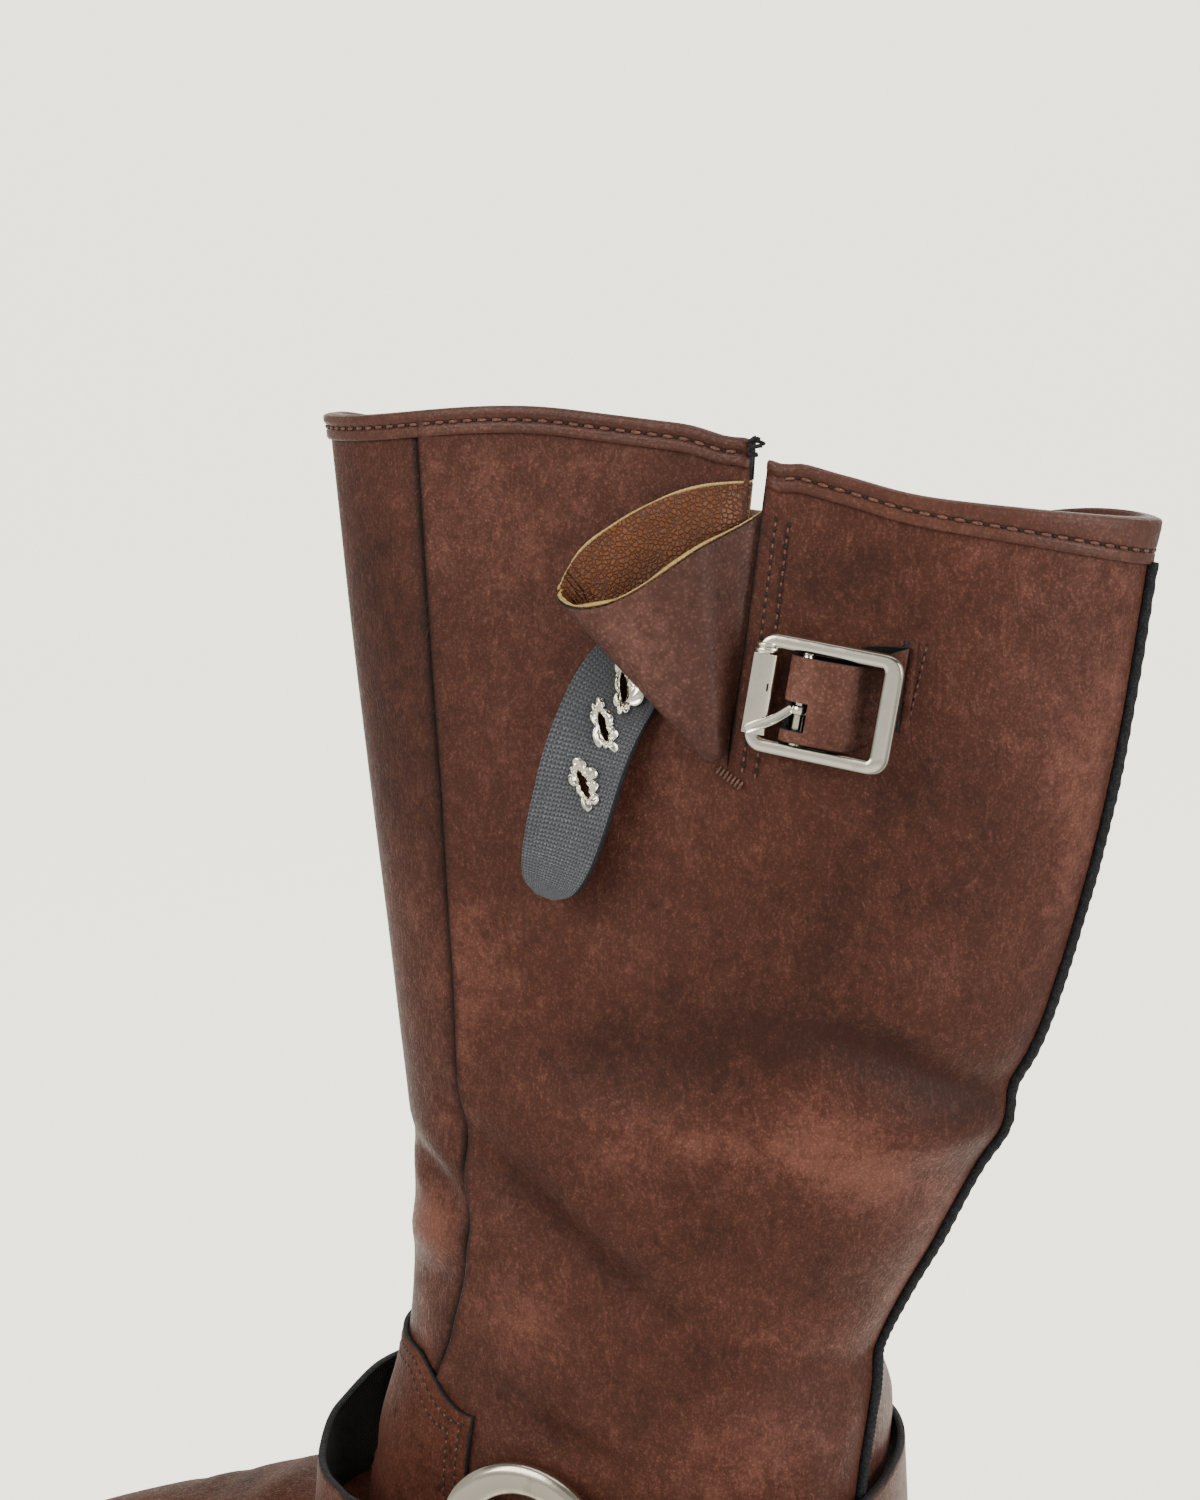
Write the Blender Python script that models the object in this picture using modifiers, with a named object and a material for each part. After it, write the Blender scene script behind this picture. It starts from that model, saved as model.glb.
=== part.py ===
"""Buckle boot: a pull-on harness boot for the left foot, built from its section table.

The boot stands on the floor (z = 0), toe towards -X, outer side towards -Y. Sizes are in millimetres
and are scaled to metres where points are made.
"""

import math

import bmesh
import bpy
import numpy as np
from mathutils import Matrix, Vector

MM = 0.001
# Where the part's origin lies: on the floor, in the middle of the heel
ORIGIN = np.array((65.0, 0.0, 0.0))

# Walls and gaps
WALL = 2.0
GAP = 0.4
SOLE_GAP = 0.6
OVERLAY = 1.3
STRAP_THICK = 1.8

# Sole
HEEL_HEIGHT = 33.0
OUTSOLE = 9.0
MIDSOLE = 4.0
TOP_LIFT = 7.0
INSOLE = 2.5
WELT_MARGIN = 4.5
HEEL_MARGIN = 3.0
ARCH_FROM = -76.0
HEEL_FROM = 26.0
HEEL_BREAST = 31.0
SPRING_FROM = -112.0
TOE_SPRING = 8.0
TOE_TIP = -170.0

# Slit, collar binding and back piping
SLIT_U = 0.216
SLIT_FOOT_Z = 288.0
SLIT_WIDTH = 4.0
SLIT_LEAN = 0.0055
BINDING_DROP = 4.7
BINDING_BACK_DROP = 8.4
BINDING_INSIDE = 7.0
BINDING_THICK = 0.9
PIPING_RADIUS = 1.1
PIPING_GAP = 0.6

# Vamp overlay
VAMP_TOP = 0.612
VAMP_CORNER = 0.579
VAMP_HEM_U = 0.222
VAMP_HEM_V = 0.012
VAMP_SWEEP = 0.096
VAMP_RISE = 0.4
VAMP_SNAP = 0.006

# Buckle
BUCKLE_AT = (87.5, 304.5)
BUCKLE_TURN = math.radians(2.0)
BUCKLE_LONG = 30.0
BUCKLE_TALL = 25.0
BUCKLE_CORNER = 3.2
BUCKLE_BAR = 1.75
CENTRE_BAR = 1.2
CENTRE_AT = -4.3
LEFT_LIFT = 3.3
RIGHT_LIFT = 6.4
TAB_TALL = 17.4
TAB_THICK = 1.4
TAB_END = 15.0
TAB_SHEAR = 5.0
PRONG_RADIUS = 0.75
PRONG_AT = -2.2
PRONG_SKEW = math.radians(26.0)
PRONG_SLOT = 4.6
PRONG_SLOT_AT = -3.0

# Harness
RING_AT = (23.0, 109.0)
RING_MAJOR = 17.6
RING_BAND = 3.7
RING_HALF_THICK = 1.9
HARNESS_WIDTH = 20.0
HARNESS_END = 12.0
TIP_CLEAR = 2.0

# Upper's grid: columns from the slit to the front, to the back and to the slit again
COLUMNS = (12, 22, 10)
ROWS_PER_SECTION = 2

# A row for each section from the sole to the collar: back and front points in the side view, half
# widths at the heel and the ball, where the back and front tapers start and how round they are, the
# toe's turn to the inner side, the collar's rise on each side, how square the inner side's back is and
# how far the back seam lies to the outer side.
SECTION_COLUMNS = (
    "back_x", "back_z", "front_x", "front_z", "lateral", "medial", "ball_lateral", "ball_medial",
    "back_taper", "back_power", "front_taper", "front_power", "toe_turn", "rise_lateral", "rise_medial",
    "medial_square", "heel_turn",
)
SECTIONS = np.array((
    (96.0, 46.4, -165.0, 21.4, 31, 30, 46, 41, 0.13, 0.50, 0.66, 0.45, 9, 0, 0, 1, 0),
    (99.0, 62.0, -169.0, 36.0, 34, 33, 48, 43, 0.14, 0.50, 0.64, 0.45, 9, 0, 0, 1, -1),
    (97.0, 79.0, -159.0, 50.0, 34, 34.5, 44, 40, 0.15, 0.49, 0.56, 0.47, 8, 0, 0, 0.85, -3),
    (94.0, 94.0, -135.0, 63.0, 34, 36.5, 40, 37, 0.16, 0.48, 0.46, 0.50, 6, 0, 0, 0.6, -8),
    (91.5, 108.0, -100.0, 76.0, 34, 38.5, 38, 36, 0.18, 0.47, 0.40, 0.50, 4, 0, 0, 0.42, -13),
    (91.5, 119.0, -66.0, 86.0, 34, 39.5, 36, 36, 0.20, 0.47, 0.42, 0.50, 2, 0, 0, 0.34, -13),
    (91.5, 129.0, -43.0, 99.0, 35, 39.5, 35, 36, 0.23, 0.48, 0.46, 0.50, 0, 0, 0, 0.36, -9),
    (92.0, 140.0, -32.0, 119.0, 36, 38, 36, 36, 0.29, 0.50, 0.50, 0.50, 0, 0, 0, 0.55, -5),
    (92.5, 153.0, -24.5, 146.0, 36, 36, 36, 36, 0.38, 0.56, 0.54, 0.50, 0, 0, 0, 1, -1),
    (106.0, 183.0, -20.5, 184.0, 37, 35, 37, 35, 0.48, 0.62, 0.60, 0.50, 0, 0, 0, 1, 0),
    (122.0, 219.0, -24.5, 228.0, 38, 36, 38, 36, 0.50, 0.62, 0.64, 0.50, 0, 0, 0, 1, 0),
    (133.0, 254.0, -30.0, 273.0, 37, 36, 37, 36, 0.48, 0.60, 0.68, 0.50, 0, 1.5, -1, 1, 0),
    (140.5, 290.0, -35.5, 317.0, 35, 35, 35, 35, 0.44, 0.57, 0.70, 0.50, 0, 5, -4.5, 1, 0),
    (147.0, 340.0, -40.5, 361.0, 33, 34, 33, 34, 0.40, 0.54, 0.70, 0.50, 0, 8.8, -12.5, 1, 0),
), float)
LAST_SECTION = len(SECTIONS) - 1
SOLE_FOLLOW = 4.0

# Harness straps: middle of the strip, and the way its width runs, a row for each section
STRIP_COLUMNS = ("x", "y", "z", "width_x", "width_y", "width_z", "width")
FRONT_STRAP = (
    (-18.0, -40.2, 105.0, 0.05, 0.00, 1.00, 17.0),
    (-36.0, -33.0, 102.5, 0.35, 0.15, 0.92, 20.0),
    (-51.5, -16.5, 99.3, 0.52, 0.10, 0.85, 18.0),
    (-56.5, 1.0, 99.2, 0.55, 0.00, 0.835, 17.5),
    (-54.0, 19.5, 99.6, 0.45, -0.10, 0.89, 19.0),
    (-40.0, 35.3, 102.6, 0.20, -0.10, 0.97, 21.0),
    (-18.0, 38.2, 108.0, 0.05, 0.00, 1.00, 17.0),
)
BACK_STRAP = (
    (62.0, -40.2, 112.0, 0.00, 0.00, 1.00, 17.0),
    (82.0, -36.0, 114.5, 0.00, 0.05, 1.00, 20.0),
    (95.0, -22.0, 117.0, -0.05, 0.05, 1.00, 20.0),
    (98.4, 0.0, 117.5, -0.08, 0.00, 1.00, 20.0),
    (95.0, 23.5, 115.2, -0.05, -0.05, 1.00, 20.0),
    (81.5, 42.6, 113.5, 0.00, 0.00, 1.00, 20.0),
    (62.0, 42.6, 113.0, 0.00, 0.00, 1.00, 17.0),
)

# Top strap: middle in the side view, lift off the shaft, turn of its width and width
HANGING_COLUMNS = ("x", "z", "lift", "width_x", "width_z", "width")
HANGING_STRAP = (
    (51.0, 314.5, 1.4, 0.62, -0.78, 15.0),
    (47.2, 310.0, 1.8, 0.72, -0.69, 17.0),
    (42.8, 302.5, 3.2, 0.92, -0.39, 18.5),
    (39.0, 292.0, 5.0, 0.98, -0.20, 18.5),
    (36.4, 281.0, 6.4, 0.99, -0.12, 18.0),
    (33.5, 270.0, 7.0, 0.97, -0.22, 16.0),
    (31.4, 263.5, 7.0, 0.96, -0.26, 11.5),
    (30.6, 261.2, 6.9, 0.96, -0.26, 4.0),
)
EYELETS_AT = (0.225, 0.355, 0.515)
EYELET_ASIDE = 1.2
EYELET_TURN = math.radians(-38.0)
EYELET_LONG = 4.8
EYELET_SHORT = 2.5
EYELET_WIRE = 0.9

# Gusset: angle from the slit to the fold, lengths from its foot and how far it stands off
GUSSET_FOOT = (66.5, 289.5)
GUSSET_FOLD_DEG = 42.6
GUSSET_BACK_DEG = -4.7
GUSSET_FRONT_DEG = -9.4
GUSSET_BACK_LEAF = (58.6, 47.8, 0.0)
GUSSET_FRONT_LEAF = (54.9, 47.8, -12.7)
GUSSET_SAG = 0.78
GUSSET_THICK = 1.4
GUSSET_BULGE = 7.6
GUSSET_CLEAR = 7.0
GUSSET_START = 0.17
GUSSET_STEPS = (16, 4)


def smooth(value):
    """Cubic step from 0 to 1."""
    value = np.clip(value, 0.0, 1.0)
    return value * value * (3.0 - 2.0 * value)


def monotone(table, place):
    """Monotone cubic through a table's rows, at a place counted in rows."""
    place = np.clip(np.asarray(place, float), 0.0, len(table) - 1.0)
    row = np.minimum(place.astype(int), len(table) - 2)
    part = (place - row)[..., None]
    step = np.diff(table, axis=0)
    slope = np.zeros_like(table)
    before, after = step[:-1], step[1:]
    same_way = before * after > 0
    slope[1:-1] = np.where(same_way, 2 * before * after / np.where(same_way, before + after, 1.0), 0.0)
    slope[0], slope[-1] = step[0], step[-1]
    h0 = 2 * part**3 - 3 * part**2 + 1
    h1 = part**3 - 2 * part**2 + part
    h2 = 3 * part**2 - 2 * part**3
    h3 = part**3 - part**2
    return h0 * table[row] + h1 * slope[row] + h2 * table[row + 1] + h3 * slope[row + 1]


def under_sole(x):
    """Height of the outsole's underside: flat forefoot, arch up to the heel seat and toe spring."""
    arch = HEEL_HEIGHT * smooth((x - ARCH_FROM) / (HEEL_FROM - ARCH_FROM))
    spring = np.clip((SPRING_FROM - x) / (SPRING_FROM - TOE_TIP), 0.0, None)
    return arch + TOE_SPRING * spring**2


def feather(x):
    """Height at which the upper meets the sole."""
    return under_sole(x) + OUTSOLE + MIDSOLE + SOLE_GAP


def last(u, v):
    """Point of the upper's outside, in millimetres. u runs from the back by the outer side, v upwards."""
    u, v = np.broadcast_arrays(np.asarray(u, float), np.asarray(v, float))
    row = dict(zip(SECTION_COLUMNS, np.moveaxis(monotone(SECTIONS, v * LAST_SECTION), -1, 0)))
    u = u % 1.0
    outer_side = u < 0.5
    along = np.where(outer_side, 2 * u, 2 - 2 * u)
    t = (1 - np.cos(np.pi * along)) / 2
    heel = np.where(outer_side, row["lateral"], row["medial"])
    ball = np.where(outer_side, row["ball_lateral"], row["ball_medial"])
    to_ball = smooth((t - 0.15) / 0.47)
    half = heel + (ball - heel) * to_ball
    taper = row["back_taper"] * np.where(outer_side, 1.0, row["medial_square"])
    back = (1 - np.clip(1 - t / taper, 0, 1) ** 2) ** row["back_power"]
    ahead = np.clip((t - row["front_taper"]) / (1 - row["front_taper"]), 0, 1)
    front = np.clip(1 - ahead**2, 0, 1) ** row["front_power"]
    x = row["back_x"] + (row["front_x"] - row["back_x"]) * t
    y = np.where(outer_side, -1, 1) * half * back * front + row["toe_turn"] * smooth(2 * t - 1)
    y = y + row["heel_turn"] * smooth(1 - t / np.where(outer_side, 0.10, 0.05))
    rise = np.where(outer_side, row["rise_lateral"], row["rise_medial"])
    z = row["back_z"] + (row["front_z"] - row["back_z"]) * t
    rise_from, rise_over = np.where(outer_side, 0.30, 0.02), np.where(outer_side, 0.19, 0.36)
    z = z + rise * smooth((t - rise_from) / rise_over) * (1 - smooth((t - 0.62) / 0.38))
    straight = SECTIONS[0, 1] + (SECTIONS[0, 3] - SECTIONS[0, 1]) * t
    follow = np.clip(1 - v * LAST_SECTION / SOLE_FOLLOW, 0, 1) ** 1.5
    return np.stack([x, y, z + (feather(x) - straight) * follow], -1)


def normal(u, v):
    """Outward unit normal of the upper."""
    step = 0.002
    u, v = np.broadcast_arrays(np.asarray(u, float), np.asarray(v, float))
    across = last(u + step, v) - last(u - step, v)
    up = last(u, np.minimum(v + step, 1)) - last(u, np.maximum(v - step, 0))
    out = np.cross(up, across)
    return out / np.linalg.norm(out, axis=-1, keepdims=True)


def lifted(u, v, lift=0.0):
    """Point at a height over the upper's outside, in millimetres."""
    return last(u, v) + normal(u, v) * np.asarray(lift, float)[..., None]


def turn_of(x, v, inner=False):
    """u at which the section v reaches x."""
    row = monotone(SECTIONS, np.asarray(v, float) * LAST_SECTION)
    t = np.clip((x - row[..., 0]) / (row[..., 2] - row[..., 0]), 0, 1)
    u = np.arccos(1 - 2 * t) / (2 * np.pi)
    return 1 - u if inner else u


def locate(x, z, inner=False):
    """(u, v) of the point of one side at x and z."""
    low, high = np.zeros_like(np.asarray(x, float)), np.ones_like(np.asarray(x, float))
    for _ in range(40):
        middle = (low + high) / 2
        below = last(turn_of(x, middle, inner), middle)[..., 2] < z
        low, high = np.where(below, middle, low), np.where(below, high, middle)
    return turn_of(x, low, inner), low


def metres(points):
    """Points in metres from the part's origin."""
    return (np.asarray(points, float) - ORIGIN) * MM


def unit(vector):
    """Vector of length 1."""
    vector = np.asarray(vector, float)
    return vector / np.linalg.norm(vector, axis=-1, keepdims=True)


def clear_scene():
    """Removes what the scene starts with and returns the part's collections."""
    for obj in list(bpy.data.objects):
        bpy.data.objects.remove(obj, do_unlink=True)
    part = bpy.data.collections.new("buckle_boot")
    cutters = bpy.data.collections.new("cutters")
    bpy.context.scene.collection.children.link(part)
    bpy.context.scene.collection.children.link(cutters)
    cutters.hide_render = True
    return part, cutters


def material(name, colour, roughness, metallic=0.0):
    """Principled material of a plain colour."""
    made = bpy.data.materials.new(name)
    made.use_nodes = True
    shader = made.node_tree.nodes["Principled BSDF"]
    shader.inputs["Base Color"].default_value = (*colour, 1.0)
    shader.inputs["Roughness"].default_value = roughness
    shader.inputs["Metallic"].default_value = metallic
    return made


def add_object(name, mesh, finish, collection):
    """Object of a mesh with its material."""
    obj = bpy.data.objects.new(name, mesh)
    collection.objects.link(obj)
    if finish is not None:
        mesh.materials.append(finish)
    return obj


def mesh_of(bm, name):
    """Mesh of a bmesh, welded and turned outwards."""
    bmesh.ops.remove_doubles(bm, verts=bm.verts, dist=1e-6)
    bmesh.ops.dissolve_degenerate(bm, edges=bm.edges, dist=1e-7)
    bmesh.ops.recalc_face_normals(bm, faces=bm.faces)
    mesh = bpy.data.meshes.new(name)
    bm.to_mesh(mesh)
    bm.free()
    return mesh


def shaped_grid(count_a, count_b, place):
    """Grid whose points are set by place(a, b), a and b from 0 to 1, in millimetres."""
    bm = bmesh.new()
    bmesh.ops.create_grid(bm, x_segments=count_a, y_segments=count_b, size=0.5)
    flat = np.array([vert.co[:] for vert in bm.verts])
    points = metres(place(flat[:, 0] + 0.5, flat[:, 1] + 0.5))
    for vert, point in zip(bm.verts, points):
        vert.co = point
    return bm


def sheet(name, count_a, count_b, place, thickness, finish, collection):
    """Sheet of a thickness about a shaped grid."""
    obj = add_object(name, mesh_of(shaped_grid(count_a, count_b, place), name), finish, collection)
    wall = obj.modifiers.new("wall", "SOLIDIFY")
    wall.thickness = thickness * MM
    wall.offset = 0.0
    wall.use_quality_normals = True
    return obj


def slab(name, count_a, count_b, place, bottom, finish, collection):
    """Grid extruded down to the heights bottom(x)."""
    bm = shaped_grid(count_a, count_b, place)
    bmesh.ops.remove_doubles(bm, verts=bm.verts, dist=1e-6)
    made = bmesh.ops.extrude_face_region(bm, geom=bm.faces[:])
    for item in made["geom"]:
        if isinstance(item, bmesh.types.BMVert):
            item.co.z = float(bottom(item.co.x / MM + ORIGIN[0])) * MM
    return add_object(name, mesh_of(bm, name), finish, collection)


def tube(name, points, radius, finish, collection, closed=False):
    """Round bar along a path of points in metres, as a mesh."""
    curve = bpy.data.curves.new(name, "CURVE")
    curve.dimensions = "3D"
    curve.bevel_depth = radius * MM
    curve.bevel_resolution = 1
    curve.use_fill_caps = not closed
    spline = curve.splines.new("POLY")
    spline.points.add(len(points) - 1)
    for spot, point in zip(spline.points, points):
        spot.co = (*point, 1.0)
    spline.use_cyclic_u = closed
    holder = bpy.data.objects.new(name + "_path", curve)
    bpy.context.scene.collection.objects.link(holder)
    graph = bpy.context.evaluated_depsgraph_get()
    mesh = bpy.data.meshes.new_from_object(holder.evaluated_get(graph))
    bpy.data.objects.remove(holder, do_unlink=True)
    bm = bmesh.new()
    bm.from_mesh(mesh)
    bpy.data.meshes.remove(mesh)
    return add_object(name, mesh_of(bm, name), finish, collection)


def boolean(obj, cutter, operation, cutters):
    """EXACT Boolean of obj with a helper, which moves to the cutters."""
    change = obj.modifiers.new(cutter.name, "BOOLEAN")
    change.operation = operation
    change.solver = "EXACT"
    change.object = cutter
    for collection in list(cutter.users_collection):
        collection.objects.unlink(cutter)
    cutters.objects.link(cutter)
    cutter.hide_render = True
    cutter.display_type = "WIRE"


# Sole
def outline(share, margin, inner=False):
    """Plan of the sole on one side, a margin outside the upper's lower edge."""
    step = 0.003
    u = np.where(inner, 1 - share / 2, share / 2)
    edge = last(u, np.zeros_like(u))
    way = last(u + step, np.zeros_like(u)) - last(u - step, np.zeros_like(u))
    out = unit(np.stack([way[:, 1], -way[:, 0]], -1))
    return edge[:, :2] - out * margin


def sole_plan(margin, height):
    """Placer of a sole piece's top face."""
    def place(a, b):
        one = outline(a, margin)
        other = outline(a, margin, inner=True)
        plan = one + (other - one) * b[:, None]
        return np.column_stack([plan, height(plan[:, 0])])
    return place


def build_sole(part, finishes):
    """Outsole, midsole, insole, heel and top lift."""
    slab("outsole", 30, 2, sole_plan(WELT_MARGIN, lambda x: under_sole(x) + OUTSOLE - GAP),
         under_sole, finishes["rubber"], part)
    slab("midsole", 30, 2, sole_plan(WELT_MARGIN - 0.6, lambda x: under_sole(x) + OUTSOLE + MIDSOLE),
         lambda x: under_sole(x) + OUTSOLE, finishes["edge"], part)
    slab("insole", 22, 2, sole_plan(-WALL - 1.6, lambda x: feather(x) + INSOLE),
         feather, finishes["insole"], part)

    def heel_plan(height, margin):
        breast = (SECTIONS[0, 0] - HEEL_BREAST) / (SECTIONS[0, 0] - SECTIONS[0, 2])
        reach = np.arccos(1 - 2 * breast) / np.pi
        plan = sole_plan(margin, lambda x: np.full_like(x, height))
        return lambda a, b: plan(a * reach, b)

    slab("heel", 14, 2, heel_plan(HEEL_HEIGHT - GAP, HEEL_MARGIN),
         lambda x: TOP_LIFT, finishes["edge"], part)
    slab("top_lift", 14, 2, heel_plan(TOP_LIFT - GAP, HEEL_MARGIN),
         lambda x: 0.0, finishes["rubber"], part)


# Upper
def grid_rows():
    """Section levels of the upper's rows, with one at the slit's foot."""
    rows = np.linspace(0, 1, LAST_SECTION * ROWS_PER_SECTION + 1)
    foot = slit_foot()
    rows[np.abs(rows - foot).argmin()] = foot
    return rows


def slit_foot():
    """Level of the slit's foot."""
    low, high = 0.5, 1.0
    for _ in range(40):
        middle = (low + high) / 2
        if last(SLIT_U, middle)[2] < SLIT_FOOT_Z:
            low = middle
        else:
            high = middle
    return low


def slit_half(v):
    """Half of the slit's opening at a level, as a share of the turn."""
    step = 0.002
    pace = np.linalg.norm(last(SLIT_U + step, v) - last(SLIT_U - step, v), axis=-1) / (2 * step)
    return SLIT_WIDTH / 2 * np.clip((v - slit_foot()) / (1 - slit_foot()), 0, 1) / pace


def grid_columns():
    """Turns of the upper's columns, once round from the slit."""
    stops = (SLIT_U, 0.5, 1.0, 1.0 + SLIT_U)
    runs = [np.linspace(stops[i], stops[i + 1], COLUMNS[i] + 1)[:-1] for i in range(3)]
    return np.concatenate([*runs, [stops[-1]]])


def around(a, v):
    """Turn of a place counted from 0 to 1 round the upper from the slit's front edge."""
    columns = grid_columns()
    u = np.interp(a * (len(columns) - 1), np.arange(len(columns)), columns)
    front, rear = np.clip(1 - 8 * a, 0, 1), np.clip(8 * a - 7, 0, 1)
    lean = SLIT_LEAN * np.minimum(1, (1 - v) / (1 - slit_foot())) * smooth((v - 0.65) / 0.2)
    return u + slit_half(v) * (front - rear) + lean * (front + rear)


def build_upper(part, finishes):
    """Hollow wall from the sole to the collar, slit at the outer side."""
    rows = grid_rows()
    columns = len(grid_columns()) - 1

    def place(a, b):
        v = rows[np.round(b * (len(rows) - 1)).astype(int)]
        return lifted(around(a, v), v, np.full_like(v, -WALL / 2))

    sheet("upper", columns, len(rows) - 1, place, WALL, finishes["leather"], part)


def vamp_edge(v):
    """Turn of the vamp overlay's rear edge at a level."""
    return VAMP_HEM_U + VAMP_SWEEP * smooth(v / (VAMP_CORNER + 0.02)) ** 2


def build_vamp(part, finishes):
    """Foot's leather lapped over the shaft, on the upper's own columns and rows as far as its edges."""
    columns = grid_columns()
    columns = columns[np.abs(columns - 0.5) < 0.5 - VAMP_HEM_U + 0.01]
    rows = grid_rows()
    rows = rows[:np.argmax(rows > VAMP_TOP) + 1]

    def place(a, b):
        u = columns[np.round(a * (len(columns) - 1)).astype(int)]
        v = rows[np.round(b * (len(rows) - 1)).astype(int)]
        corner = vamp_edge(VAMP_CORNER) + VAMP_SNAP
        ahead = np.clip(np.minimum(u, 1 - u) - corner, 0, None) / (0.5 - corner)
        top = VAMP_CORNER + (VAMP_TOP - VAMP_CORNER) * smooth(ahead / VAMP_RISE)
        v = np.where(top - v < VAMP_SNAP, top, np.maximum(v, VAMP_HEM_V))
        edge = vamp_edge(v)
        u = np.where(u - edge < VAMP_SNAP, edge, np.where(1 - edge - u < VAMP_SNAP, 1 - edge, u))
        return lifted(u, v, np.full_like(v, GAP + OVERLAY / 2))

    sheet("vamp_overlay", len(columns) - 1, len(rows) - 1, place, OVERLAY, finishes["leather"], part)


def build_binding(part, finishes):
    """Strip folded over the collar's edge, from one side of the slit round to the other."""
    outer, inner = GAP, -WALL - GAP
    out, far = outer + BINDING_THICK, inner - BINDING_THICK
    bend = BINDING_THICK * 0.5
    # Across the fold: lift off the wall, height over the collar's edge and share of the drop
    profile = np.array((
        (outer, 0, -1), (out, 0, -1), (out + 0.25, GAP, 0), (out - bend, GAP + BINDING_THICK, 0),
        (far + bend, GAP + BINDING_THICK, 0), (far, GAP, 0), (far, -BINDING_INSIDE, 0), (inner, -BINDING_INSIDE, 0),
        (inner, GAP, 0), (outer, GAP, 0), (outer, 0, -1),
    ))
    steps = 40

    def place(a, b):
        level = np.ones_like(a)
        u = around(a, level)
        edge = last(u, level)
        across = normal(u, level)
        down = unit(edge - last(u, level - 0.02))
        spot = np.round(b * (len(profile) - 1)).astype(int)
        from_back = np.minimum(u % 1.0, 1 - u % 1.0)
        drop = BINDING_BACK_DROP + (BINDING_DROP - BINDING_BACK_DROP) * smooth(from_back / 0.19)
        height = profile[spot, 1] + profile[spot, 2] * drop
        return edge + across * profile[spot, :1] + down * height[:, None]

    bm = shaped_grid(steps, len(profile) - 1, place)
    bmesh.ops.remove_doubles(bm, verts=bm.verts, dist=1e-6)
    bmesh.ops.holes_fill(bm, edges=[edge for edge in bm.edges if edge.is_boundary], sides=0)
    add_object("collar_binding", mesh_of(bm, "collar_binding"), finishes["leather"], part)


def build_piping(part, finishes):
    """Round cord along the back seam, from the sole to the binding."""
    levels = np.linspace(0.015, 1, 200)
    line = last(np.zeros_like(levels), levels)
    top = line[-1, 2] - BINDING_BACK_DROP - 1.5
    levels = np.linspace(levels[0], levels[line[:, 2] < top][-1], 20)
    line = lifted(np.zeros_like(levels), levels, np.full_like(levels, PIPING_RADIUS + PIPING_GAP))
    tube("back_piping", metres(line), PIPING_RADIUS, finishes["black"], part)


# Gusset and top strap
def build_gusset(part, finishes):
    """Leaf folded at the slit: a back leaf against the shaft and a front leaf that bulges outwards."""
    foot_u, foot_v = locate(*GUSSET_FOOT)
    foot = last(foot_u, foot_v)

    def place(a, b):
        fold = 1 - np.abs(2 * a - 1)
        back = a < 0.5
        leaf = np.where(back[:, None], GUSSET_BACK_LEAF, GUSSET_FRONT_LEAF)
        sag = np.sin(np.pi * fold ** np.where(back, 1.0, GUSSET_SAG))
        reach = leaf[:, 0] + (leaf[:, 1] - leaf[:, 0]) * fold + leaf[:, 2] * sag
        r = reach * (GUSSET_START + (1 - GUSSET_START) * b)
        open_to = np.sin(np.pi * fold / 2)
        ends = np.where(back, GUSSET_BACK_DEG, GUSSET_FRONT_DEG)
        angle = np.radians(ends + (GUSSET_FOLD_DEG - ends) * open_to)
        grow = r / GUSSET_BACK_LEAF[1]
        x = foot[0] - r * np.sin(angle)
        z = foot[2] + r * np.cos(angle)
        u, v = locate(x, np.minimum(z, last(turn_of(x, np.ones_like(x)), np.ones_like(x))[:, 2] - 0.5))
        inside = 1.3 + GUSSET_CLEAR * grow * open_to
        bulge = 3.1 + grow * (GUSSET_CLEAR * open_to + 1.2 + GUSSET_BULGE * np.sin(np.pi * fold**0.9))
        return lifted(u, v, np.where(fold > 0.999, (inside + bulge) / 2, np.where(back, inside, bulge)))

    sheet("gusset", *GUSSET_STEPS, place, GUSSET_THICK, finishes["leather"], part)


def hanging(share):
    """Middle, width direction and width of the top strap at a share of its length."""
    table = np.array(HANGING_STRAP)
    row = monotone(table, np.asarray(share) * (len(table) - 1))
    u, v = locate(row[:, 0], row[:, 1])
    middle = lifted(u, v, row[:, 2])
    across = unit(np.column_stack([row[:, 3], np.zeros(len(row)), row[:, 4]]))
    return middle, across, row[:, 5]


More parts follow.
